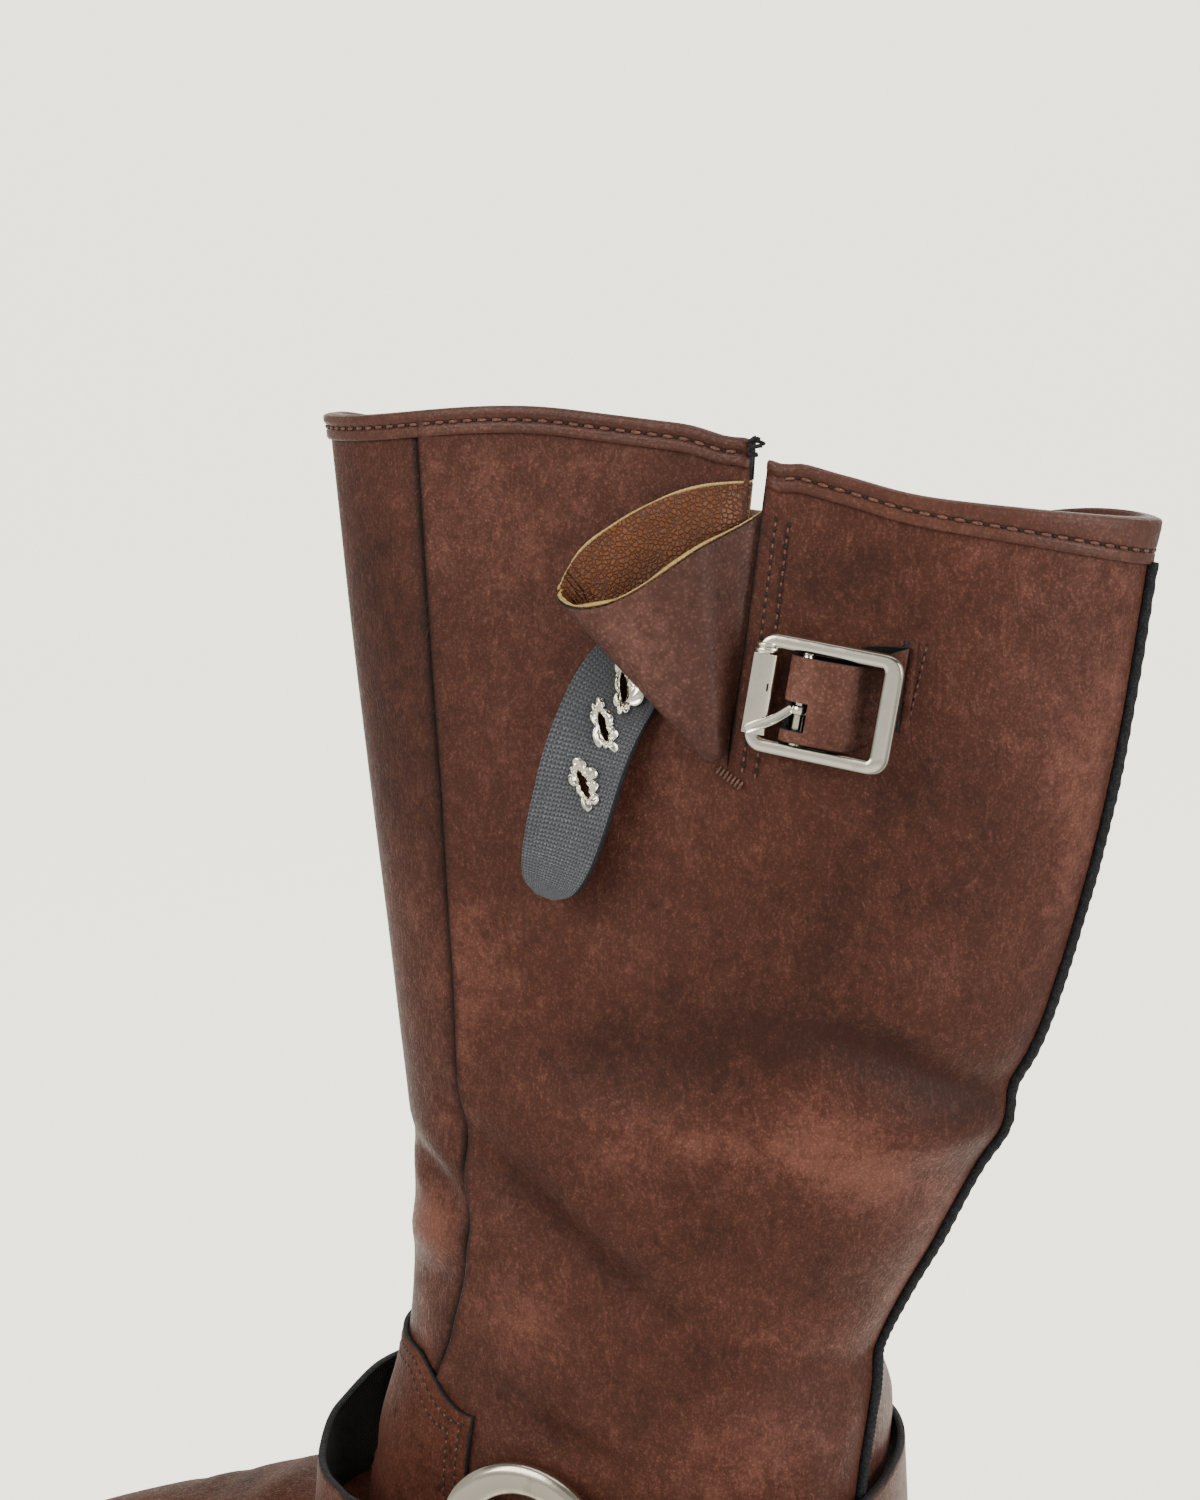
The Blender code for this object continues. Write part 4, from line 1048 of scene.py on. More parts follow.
class Finishes:
    """The boot's materials, each made once."""

    def __init__(self) -> None:
        """Makes the materials."""
        Effects.build()
        self.leather = Leather("brown_waxed_leather").material()
        self.vamp = Leather("vamp_leather", mid=colour(0.118, 0.040, 0.0240), specular=0.05,
                            gloss=0.46).material()
        self.binding = Leather("binding_leather", mid=colour(0.106, 0.034, 0.0190),
                               light=colour(0.21, 0.078, 0.049), pebble=1150.0, depth=0.15, nap=0.25,
                               gloss=0.27, cloud=34.0, specular=0.32).material()
        self.strap = Leather("strap_leather", mid=colour(0.136, 0.056, 0.0390),
                             light=colour(0.30, 0.135, 0.098), pebble=1250.0, depth=0.14, nap=0.45,
                             gloss=0.36, cloud=30.0, specular=0.12).material()
        self.gusset = Leather("gusset_leather", dark=colour(0.045, 0.0185, 0.0130),
                              mid=colour(0.100, 0.0385, 0.0265), light=colour(0.29, 0.128, 0.094),
                              pebble=1150.0, depth=0.15, nap=0.3, gloss=0.34, cloud=26.0,
                              specular=0.24).material()
        self.tan = Lining("tan_lining", colour(0.078, 0.021, 0.003), colour(0.20, 0.056, 0.008), 1050.0,
                          0.16).material()
        self.facing = Lining("brown_facing", colour(0.035, 0.014, 0.009), colour(0.105, 0.045, 0.030), 900.0,
                             0.12).material()
        self.knit = Fabric("grey_knit_backing", colour(0.045, 0.047, 0.050), colour(0.100, 0.106, 0.114),
                           colour(0.23, 0.242, 0.258), 84.0, 21.0, 0.22).material()
        self.black_backing = Fabric("black_backing", colour(0.002, 0.002, 0.0023),
                                    colour(0.004, 0.0045, 0.005), colour(0.012, 0.015, 0.016), 420.0, 26.0,
                                    0.12, 0.03).material()
        self.nickel = Metal("nickel_plate").material()
        self.ring = Metal("ring_plate", colour(0.64, 0.58, 0.47), colour(0.40, 0.34, 0.26), 0.17).material()
        self.cord = Plain("black_cord", colour(0.004, 0.004, 0.0045), colour(0.024, 0.025, 0.028), 1900.0,
                          0.28, 0.82).material()
        self.cut_black = Plain("black_cut_edge", colour(0.004, 0.004, 0.0045),
                               colour(0.025, 0.026, 0.030)).material()
        self.cut_yellow = Plain("yellow_cut_edge", colour(0.42, 0.27, 0.075), colour(0.72, 0.53, 0.20),
                                1600.0, 0.08).material()
        self.thread = Plain("brown_thread", colour(0.085, 0.034, 0.022), colour(0.30, 0.140, 0.098), 2600.0,
                            0.10, 0.62).material()
        # Dark colour painted into stitch holes and the sleeve's notch as their shade
        self.hole = Plain("stitch_hole_shade", colour(0.009, 0.005, 0.0035), colour(0.024, 0.011, 0.007)).material()
        self.rubber = Plain("black_rubber", colour(0.010, 0.0095, 0.009), colour(0.026, 0.025, 0.024), 900.0,
                            0.10, 0.72).material()
        self.sole_edge = Plain("dark_sole_edge", colour(0.013, 0.007, 0.005), colour(0.050, 0.026, 0.017),
                               800.0, 0.08, 0.50, 160.0).material()
        self.insole = Lining("tan_insole", colour(0.13, 0.055, 0.018), colour(0.25, 0.115, 0.040), 1300.0,
                             0.06).material()


# Wear and painted light: the shaft's main creases, and tones that paint light and shade onto its wax beside
# rubbed wax, placed from the photograph
CREASES = (
    Crease((4.0, 205.0), (60.0, 164.0), 4.4, 5.4, 1.0),
    Crease((18.0, 226.0), (98.0, 229.0), 1.6, 9.0),
    Crease((24.0, 209.0), (100.0, 205.0), -1.8, 9.0),
    Crease((90.0, 106.0), (92.0, 138.0), -2.2, 14.0, 0.0, Side.INNER),
    Crease((30.0, 196.0), (60.0, 176.0), -1.0, 8.0),
    Crease((10.0, 186.0), (36.0, 160.0), -1.2, 8.0),
    Crease((82.0, 236.0), (122.0, 217.0), 2.9, 4.6, -1.0),
    Crease((92.0, 212.0), (124.0, 210.0), -2.3, 6.5),
    Crease((84.0, 250.0), (128.0, 234.0), -1.0, 8.0),
    Crease((4.0, 147.0), (44.0, 130.0), 2.2, 5.5, 1.0),
    Crease((30.0, 152.0), (58.0, 140.0), -0.9, 7.0),
    Crease((-16.0, 194.0), (4.0, 185.0), 2.6, 3.6),
    Crease((-16.0, 172.0), (4.0, 178.0), -2.4, 4.6),
    Crease((-14.0, 162.0), (2.0, 168.0), 1.2, 3.0),
    Crease((80.0, 158.0), (96.0, 150.0), 0.9, 3.5),
    Crease((60.0, 176.0), (98.0, 172.0), 0.8, 7.0),
    Crease((24.0, 147.6), (50.0, 148.0), 0.35, 1.2, 1.0),
    Crease((66.0, 163.0), (88.0, 158.0), 0.3, 1.2),
    Crease((40.0, 268.0), (100.0, 262.0), 0.7, 12.0),
    Crease((8.0, 240.0), (40.0, 226.0), 0.6, 9.0),
    Crease((6.0, 205.0), (58.0, 160.0), 2.2, 7.0, 2.0, Side.INNER),
    Crease((76.0, 236.0), (126.0, 218.0), 2.2, 6.0, -1.5, Side.INNER),
    Crease((92.0, 212.0), (124.0, 208.0), -1.4, 6.5, 0.0, Side.INNER),
    Crease((0.0, 148.0), (46.0, 132.0), 1.8, 6.0, 1.0, Side.INNER),
    Crease((30.0, 184.0), (64.0, 176.0), -1.0, 8.0, 0.0, Side.INNER),
    Crease((-46.0, 92.0), (-34.0, 106.0), 9.6, 12.0),
    Crease((-46.0, 92.0), (-34.0, 106.0), 9.6, 12.0, 0.0, Side.INNER),
    Crease((-34.0, 118.0), (-22.0, 165.0), 2.2, 16.0),
    Crease((-34.0, 118.0), (-22.0, 165.0), 2.2, 16.0, 0.0, Side.INNER),
    Crease((-74.0, 88.0), (-60.0, 94.0), -2.2, 10.0),
    Crease((-74.0, 88.0), (-60.0, 94.0), -2.2, 10.0, 0.0, Side.INNER),
    Crease((-96.0, 74.0), (-84.0, 34.0), 1.1, 3.0, -2.0),
    Crease((-84.0, 80.0), (-72.0, 36.0), 0.9, 3.0, -2.0),
    Crease((-98.0, 74.0), (-86.0, 34.0), 1.0, 3.0, -2.0, Side.INNER),
    Crease((-86.0, 80.0), (-74.0, 36.0), 0.8, 3.0, -2.0, Side.INNER),
)
# Positive tones paint lit facets, sheen and lit edges; negative ones paint shade in creases and above folds;
# others stand for rubbed wax
PATCHES = (
    Patch((92.0, 206.0), (20.0, 10.0), 0.27, -38.0),
    Patch((60.0, 209.0), (36.0, 7.0), 0.15, -4.0),
    Patch((60.0, 228.0), (40.0, 7.0), -0.16, 2.0),
    Patch((112.0, 216.0), (12.0, 6.0), -0.20, -25.0),
    Patch((-6.0, 178.0), (9.0, 8.0), 0.50, -10.0),
    Patch((-10.0, 152.0), (6.0, 14.0), 0.16),
    Patch((137.0, 284.0), (9.0, 50.0), 0.26, -12.0),
    Patch((104.0, 176.0), (6.0, 24.0), 0.20, -30.0),
    Patch((6.0, 220.0), (6.0, 40.0), 0.12),
    Patch((100.0, 200.0), (10.0, 7.0), 0.12, -30.0),
    Patch((45.0, 204.0), (10.0, 6.0), 0.12),
    Patch((24.0, 166.0), (10.0, 6.0), 0.14, -30.0),
    Patch((64.0, 176.0), (9.0, 5.0), 0.12, -20.0),
    Patch((18.0, 332.0), (16.0, 20.0), 0.13, 20.0),
    Patch((122.0, 302.0), (10.0, 18.0), 0.13, 15.0),
    Patch((112.0, 250.0), (12.0, 10.0), 0.14, -30.0),
    Patch((54.0, 246.0), (22.0, 8.0), 0.10, -12.0),
    Patch((14.0, 240.0), (12.0, 16.0), 0.10, 30.0),
    Patch((22.0, 286.0), (12.0, 20.0), 0.10, 30.0),
    Patch((62.0, 212.0), (14.0, 5.0), 0.10, -8.0),
    Patch((80.0, 164.0), (14.0, 8.0), 0.20, -15.0),
    Patch((64.0, 138.0), (30.0, 12.0), 0.14, -6.0),
    Patch((16.0, 158.0), (14.0, 12.0), 0.16, -20.0),
    Patch((72.0, 236.0), (24.0, 8.0), -0.16, -14.0),
    Patch((104.0, 288.0), (16.0, 12.0), -0.14, 20.0),
    Patch((90.0, 326.0), (14.0, 8.0), -0.14, -10.0),
    Patch((60.0, 220.0), (18.0, 7.0), -0.10, -10.0),
    Patch((30.0, 186.0), (26.0, 4.5), -0.15, -36.0),
    Patch((104.0, 226.0), (18.0, 3.6), -0.15, -28.0),
    Patch((22.0, 139.0), (18.0, 6.0), -0.12, -22.0),
    Patch((50.0, 145.0), (12.0, 8.0), -0.10),
    Patch((-18.0, 310.0), (10.0, 40.0), -0.12, 6.0),
    Patch((-12.0, 236.0), (8.0, 40.0), 0.05, 4.0),
    Patch((74.0, 262.0), (20.0, 12.0), -0.08),
    Patch((92.0, 208.0), (24.0, 12.0), 0.16, -30.0, Side.INNER),
    Patch((40.0, 300.0), (30.0, 24.0), 0.10, 20.0, Side.INNER),
    Patch((60.0, 250.0), (34.0, 14.0), -0.10, -10.0, Side.INNER),
    Patch((-120.0, 48.0), (30.0, 14.0), 0.12, 20.0),
    Patch((-120.0, 48.0), (30.0, 14.0), 0.12, 20.0, Side.INNER),
)


@dataclass(frozen=True)
class Seam:
    """Sizes of a sewn row, in millimetres.

    Attributes:
        pitch: Distance from stitch to stitch.
        width: Thread's width.
        fill: Part of the pitch that the thread shows.
        sunk: How far the thread lies under the surface.
        hole: Half width and half length of the holes.
    """

    pitch: float
    width: float = 0.62
    fill: float = 0.72
    sunk: float = 0.0
    hole: Spot = (0.36, 0.36)


def placed(middle: Points, axes: Points, sizes: Sequence[float]) -> Matrix:
    """Matrix that scales a unit shape, turns it to three axes, given as rows, and moves it to its middle."""
    turned = Matrix(axes.tolist()).transposed().to_4x4()
    scaled = Matrix.Diagonal((*(size * MM for size in sizes), 1.0))
    return Matrix.Translation(Vector(metres(middle))) @ turned @ scaled


class Stitcher:
    """Collects every sewn row, and makes the threads and the dark beads that paint the shade in their holes
    as two joined pieces.
    """

    # Faces round a stitch and from its end to its end
    AROUND = 6
    ROWS = 4
    # Half depth of a hole, height of a thread over the surface and its half height for its width
    HOLE_DEPTH = 0.14
    PROUD = 0.12
    TACK_PROUD = 0.2
    FLAT = 0.42
    # Distance to each side over which the way of a row is taken
    LOOK = 0.4

    def __init__(self) -> None:
        """Starts with no stitches."""
        self.thread = bmesh.new()
        self.hole_shades = bmesh.new()

    def bead(self, bm: bmesh.types.BMesh, middle: Points, axes: Points, half: Sequence[float]) -> None:
        """Adds a small oval.

        Args:
            bm: Mesh to add to.
            middle: Its middle, in millimetres.
            axes: Its three axes, as rows.
            half: Its half lengths along them, in millimetres.
        """
        bmesh.ops.create_uvsphere(bm, u_segments=self.AROUND, v_segments=self.ROWS, radius=1.0,
                                  matrix=placed(middle, axes, half))

    @staticmethod
    def axes(normal: Points, along: Points) -> Points:
        """Axes of a stitch as rows: across it, out of the surface and along it."""
        across = unit(np.cross(normal, along))
        return np.stack([across, np.cross(along, across), along])

    def sew(self, line: Points, normals: Points, seam: Seam) -> None:
        """Sews a row along a line.

        Args:
            line: Points of the row, in millimetres.
            normals: Surface's normals there.
            seam: Sizes of the row.
        """
        run = run_of(line)
        middles = np.arange(seam.pitch / 2, run[-1], seam.pitch)
        out = unit(between(normals, middles, run))
        way = unit(between(line, middles + self.LOOK, run) - between(line, middles - self.LOOK, run))
        thread = (seam.width / 2, seam.width * self.FLAT, seam.pitch * seam.fill / 2)
        hole = (seam.hole[0], self.HOLE_DEPTH, seam.hole[1])
        for spot, normal, along in zip(between(line, middles, run), out, way):
            axes = self.axes(normal, along)
            self.bead(self.thread, spot + normal * (self.PROUD - seam.sunk), axes, thread)
            # Dark bead that paints the shade in the stitch's hole
            self.bead(self.hole_shades, spot - along * seam.pitch / 2, axes, hole)

    def tack(self, start: Points, end: Points, normal: Points, width: float) -> None:
        """Adds one long stitch between two points."""
        half = (width / 2, width / 2, float(np.linalg.norm(end - start)) / 2)
        middle = (start + end) / 2 + normal * self.TACK_PROUD
        self.bead(self.thread, middle, self.axes(normal, unit(end - start)), half)

    def build(self, finishes: Finishes) -> None:
        """Makes the two pieces."""
        add_piece("stitching_thread", self.thread, (finishes.thread,))
        add_piece("stitch_hole_shades", self.hole_shades, (finishes.hole,))


@dataclass
class Upper:
    """Hollow shaft and foot, with its slit and front seams."""

    last: Last
    wall: float = 2.0
    slit_u: float = 0.216
    slit_foot_z: float = 288.0
    slit_width: float = 4.0
    slit_lean: float = 0.0055
    # The slit's opening is taken up over one part in so many of the turn; its lean starts at a level
    slit_spread: float = 8.0
    lean_from: float = 0.65
    lean_over: float = 0.2
    # Turn of each front seam and the way behind it, and how far the seam's drift reaches
    front_seams: tuple[tuple[float, int], ...] = ((0.354, -1), (0.646, 1))
    drift_reach: float = 0.03
    seam_from: float = 0.590
    seam_fade: float = 0.02
    seam_groove: float = 1.25
    groove_reach: float = 1.3
    groove_end: float = 0.4
    seam_ridge: float = 1.15
    seam_reach: float = 4.5
    ridge_start: float = 0.7
    # Place and reach of the seam's shadow, strength and reach of the soft one in front of it
    shadow: Spot = (-0.15, 1.25)
    soft_shadow: Spot = (0.30, 4.5)
    shade: float = 0.96
    slit_ridge: float = 0.7
    slit_ridge_reach: float = 5.0
    slit_shadow: float = 0.6
    slit_fade: float = 0.015
    # Rises of the collar before and behind the slit and its dip at the inner side: height, place and reach
    rise_before: tuple[float, float, float] = (2.2, 0.0, 5.0)
    rise_behind: tuple[float, float, float] = (2.7, 13.0, 16.0)
    rise_behind_start: float = 9.0
    inner_dip: tuple[float, float, float] = (2.4, 0.60, 0.07)
    rise_from: float = 0.90
    # Levels at which distances in millimetres are turned into turns, and the turn that is kept free
    seam_level: float = 0.8
    slit_level: float = 0.9
    clear: float = 0.002
    columns: int = 176
    rows: tuple[int, ...] = (9, 9, 9, 9, 9, 9, 9, 9, 14, 16, 16, 16, 20)
    # The front seam's turn on the outer side: a row for each level
    seam_rows: tuple[Spot, ...] = (
        (0.598, 0.362), (0.630, 0.350), (0.664, 0.345), (0.689, 0.343), (0.710, 0.352), (0.750, 0.354),
        (0.863, 0.353), (0.929, 0.355), (1.0, 0.357),
    )
    # Distances in millimetres from a seam and from the slit's edge at which the wall gets a column
    seam_columns: tuple[float, ...] = (-3.0, -1.8, -1.0, -0.5, -0.2, 0.0, 0.25, 0.6, 1.1, 1.8, 2.8, 4.2, 6.0)
    edge_columns: tuple[float, ...] = (0.3, 0.6, 0.95, 1.5, 2.4, 3.6, 5.0, 6.6)
    # Stitches: two rows behind the slit, tacks at its foot, and a row beside the back seam
    slit_rows: Spot = (3.3, 6.2)
    slit_top: float = 0.985
    slit_steps: int = 60
    slit_lift: float = 0.45
    slit_seam: Seam = Seam(2.2, 0.55, 0.5, 0.12, (0.46, 0.62))
    foot_line: tuple[Spot, Spot] = ((66.0, 289.4), (70.6, 286.4))
    foot_tacks: int = 7
    foot_lift: float = 0.5
    tack_half: float = 1.1
    tack_width: float = 0.7
    back_off: float = -3.2
    back_levels: Spot = (0.36, 0.56)
    back_steps: int = 80
    back_seam: Seam = Seam(1.9, 0.5, 0.6, 0.1)

    def __post_init__(self) -> None:
        """Works out the levels and turns of the grid."""
        runs = [np.linspace(i, i + 1, count, endpoint=False) for i, count in enumerate(self.rows)]
        self.levels = np.append(np.concatenate(runs), LAST_SECTION) / LAST_SECTION
        self.foot = self.last.level_at(self.slit_u, self.slit_foot_z)
        self.levels[np.abs(self.levels - self.foot).argmin()] = self.foot
        turns = list(np.linspace(self.slit_u, 1 + self.slit_u, self.columns))
        for turn, way in self.front_seams:
            pace = float(self.last.pace(np.array(turn), np.array(self.seam_level)))
            near = turn + way * np.array(self.seam_columns) / pace
            low, high = near.min() - self.clear, near.max() + self.clear
            turns = [u for u in turns if not low < u < high] + list(near)
        end = 1 + self.slit_u
        pace = float(self.last.pace(np.array(self.slit_u), np.array(self.slit_level)))
        near = end - np.array(self.edge_columns) / pace
        self.turns = np.array(sorted([u for u in turns if u < near.min() - self.clear] + [*near, end]))

    def slit_half(self, v: Points) -> Points:
        """Half of the slit's opening at a level, as a share of the turn."""
        opening = np.clip((v - self.foot) / (1 - self.foot), 0, 1)
        return self.slit_width / 2 * opening / self.last.pace(np.full_like(v, self.slit_u), v)

    def lean(self, v: Points) -> Points:
        """How far the slit's line leans towards the front at a level, as a share of the turn."""
        leant = np.minimum(1, (1 - v) / (1 - self.foot))
        return self.slit_lean * leant * smooth((v - self.lean_from) / self.lean_over)

    def around(self, turn: Points, v: Points) -> Points:
        """Turn of a column, moved by the slit's opening and the seams' drift."""
        spread = self.slit_spread * ((turn - self.slit_u) % WHOLE_TURN)
        front, rear = np.clip(1 - spread, 0, 1), np.clip(spread - (self.slit_spread - 1), 0, 1)
        ends = self.slit_half(v) * (front - rear) + self.lean(v) * (front + rear)
        outer, inner = (turn - middle for middle, _ in self.front_seams)
        drift = np.interp(v, *np.transpose(self.seam_rows)) - self.front_seams[0][0]
        near = np.exp(-((outer / self.drift_reach) ** 2)) - np.exp(-((inner / self.drift_reach) ** 2))
        return turn + ends + drift * near

    def raised(self, turn: Points, v: Points) -> Points:
        """Way by which the collar stands higher beside the slit, in millimetres."""
        share = (turn - self.slit_u) % WHOLE_TURN
        pace = float(self.last.pace(np.array(self.slit_u), np.array(1.0)))
        before, behind = share * pace, (WHOLE_TURN - share) * pace

        def bell(place: Points, shape: tuple[float, float, float]) -> Points:
            """Rise of a height round a middle, with a reach."""
            height, middle, reach = shape
            return height * np.exp(-(((place - middle) / reach) ** 2))

        rise = bell(before, self.rise_before)
        rise = rise + bell(behind, self.rise_behind) * smooth(behind / self.rise_behind_start)
        rise = rise - bell(turn % 1, self.inner_dip)
        return np.outer(rise * smooth((v - self.rise_from) / (1 - self.rise_from)), UP)

    def seam_relief(self, turn: Points, v: Points) -> tuple[Points, Points]:
        """Lift of the leather at the seams and the slit, and how far the seam's shadow darkens it."""
        lift, shade = np.zeros_like(turn), np.zeros_like(turn)
        high = smooth((v - self.seam_from) / self.seam_fade)
        place, reach = self.shadow
        strength, soft_reach = self.soft_shadow
        for middle, way in self.front_seams:
            behind = way * (turn - middle) * self.last.pace(np.full_like(v, middle), v)
            ridge = self.seam_ridge * np.exp(-np.clip(behind, 0, None) / self.seam_reach)
            ridge *= smooth(behind / self.ridge_start)
            groove = self.seam_groove * np.exp(-((np.clip(behind, None, 0) / self.groove_reach) ** 2))
            groove *= behind < self.groove_end
            lift += high * (ridge - groove)
            shade += high * np.exp(-(((behind - place) / reach) ** 2))
            shade += high * strength * np.exp(-((behind / soft_reach) ** 2)) * (behind < 0)
        behind = ((1 + self.slit_u) - turn) * self.last.pace(np.full_like(v, self.slit_u), v)
        above = smooth((v - self.foot) / self.slit_fade)
        lift += above * self.slit_ridge * np.exp(-((behind / self.slit_ridge_reach) ** 2))
        shade += above * np.exp(-((behind / self.slit_shadow) ** 2))
        return lift, np.clip(shade, 0, 1)

    def spot(self, a: Points, b: Points) -> tuple[Points, Points]:
        """Turn and level for the grid's shares."""
        column = np.round((1 - a) * (len(self.turns) - 1)).astype(int)
        row = np.round(b * (len(self.levels) - 1)).astype(int)
        return self.turns[column], self.levels[row]

    def surface(self, a: Points, b: Points) -> Points:
        """Outside of the wall for the grid's shares."""
        turn, v = self.spot(a, b)
        lift, _ = self.seam_relief(turn, v)
        return self.last.skin(self.around(turn, v), v, lift) + self.raised(turn, v)

    def marks(self, a: Points, b: Points) -> dict[str, Points]:
        """Tone of the patches, painted light and shade beside rubbed wax, and the seams' shadow for the
        grid's shares.
        """
        turn, v = self.spot(a, b)
        points = self.last.surface(self.around(turn, v), v)
        return {"tone": self.last.tone(points), "seam": self.seam_relief(turn, v)[1] * self.shade}

    def build(self, finishes: Finishes) -> None:
        """Makes the wall, leather outside and facing inside."""
        bm = shaped_grid(len(self.turns) - 1, len(self.levels) - 1, self.surface, self.marks)
        layers = (finishes.leather, finishes.facing, finishes.cut_black)
        piece = add_piece("boot_upper", bm, layers, ("upper",))
        thicken(piece, self.wall, -1.0)

    def slit_line(self, off: float) -> tuple[Points, Points]:
        """Line and normals beside the slit's rear edge, at a distance behind it."""
        v = np.linspace(self.slit_top, self.foot + self.clear, self.slit_steps)
        turn = self.slit_u + self.lean(v)
        u = turn - self.slit_half(v) - off / self.last.pace(turn, v)
        return self.last.skin(u, v, self.slit_lift), self.last.normal(u, v)

    def sew(self, stitches: Stitcher) -> None:
        """Sews the slit's rear edge, its foot and the back seam."""
        for off in self.slit_rows:
            stitches.sew(*self.slit_line(off), self.slit_seam)
        line, normals = self.last.trace(self.foot_line, self.foot_tacks, self.foot_lift)
        for spot, normal in zip(line, normals):
            half = unit(np.cross(normal, line[-1] - line[0])) * self.tack_half
            stitches.tack(spot - half, spot + half, normal, self.tack_width)
        v = np.linspace(*self.back_levels, self.back_steps)
        u = np.full_like(v, self.back_off) / self.last.pace(np.zeros_like(v), v)
        stitches.sew(self.last.skin(u, v, 0.0), self.last.normal(u, v), self.back_seam)


@dataclass
class Vamp:
    """Foot's leather lapped over the shaft, rising to a tongue in front of the ankle."""

    last: Last
    gap: float = 0.4
    thickness: float = 1.1
    top: float = 0.612
    corner: float = 0.579
    hem_turn: float = 0.222
    hem_level: float = 0.012
    sweep: float = 0.096
    rise: float = 0.4
    columns: int = 120
    rows: int = 90
    # Distance in millimetres that stands for one whole run of levels at the tongue
    level_run: float = 430.0
    edge_over: float = 0.02
    stitch_rows: Spot = (3.0, 6.4)
    stitch_from: float = 0.25
    stitch_steps: tuple[int, int] = (90, 120)
    seam: Seam = Seam(2.3, 0.5, 0.42, 0.14, (0.44, 0.68))

    def edge(self, v: Points) -> Points:
        """Turn of the rear edge at a level."""
        return self.hem_turn + self.sweep * smooth(v / (self.corner + self.edge_over)) ** 2

    def spot(self, a: Points, b: Points, inside: float = 0.0) -> tuple[Points, Points]:
        """Turn and level for shares of the sheet, or as far inside its edges, in millimetres."""
        ahead = 1 - np.abs(2 * a - 1)
        top = self.corner + (self.top - self.corner) * smooth(ahead / self.rise) - inside / self.level_run
        v = self.hem_level + (top - self.hem_level) * b
        edge = self.edge(v)
        edge = edge + inside / self.last.pace(edge, v)
        return edge + (1 - 2 * edge) * a, v

    def place(self, a: Points, b: Points) -> Points:
        """Outside of the sheet."""
        u, v = self.spot(1 - a, b)
        return self.last.skin(u, v, self.gap + self.thickness)

    def marks(self, a: Points, b: Points) -> dict[str, Points]:
        """Tone from the last's patches."""
        u, v = self.spot(1 - a, b)
        return {"tone": self.last.tone(self.last.surface(u, v))}

    def build(self, finishes: Finishes) -> None:
        """Makes the sheet with its dark cut edge."""
        bm = shaped_grid(self.columns, self.rows, self.place, self.marks)
        layers = (finishes.vamp, finishes.facing, finishes.cut_black)
        piece = add_piece("vamp_overlay_leather", bm, layers, ("vamp_overlay",))
        thicken(piece, self.thickness + self.gap / 2, -1.0)

    def sew(self, stitches: Stitcher) -> None:
        """Sews two rows inside the edges, up one side, over the tongue and down the other."""
        side_steps, over_steps = self.stitch_steps
        side = np.linspace(self.stitch_from, 1, side_steps)
        a = np.concatenate([np.zeros(side_steps), np.linspace(0, 1, over_steps), np.ones(side_steps)])
        b = np.concatenate([side, np.ones(over_steps), side[::-1]])
        for inside in self.stitch_rows:
            u, v = self.spot(a, b, inside)
            line = self.last.skin(u, v, self.gap + self.thickness)
            stitches.sew(line, self.last.normal(u, v), self.seam)


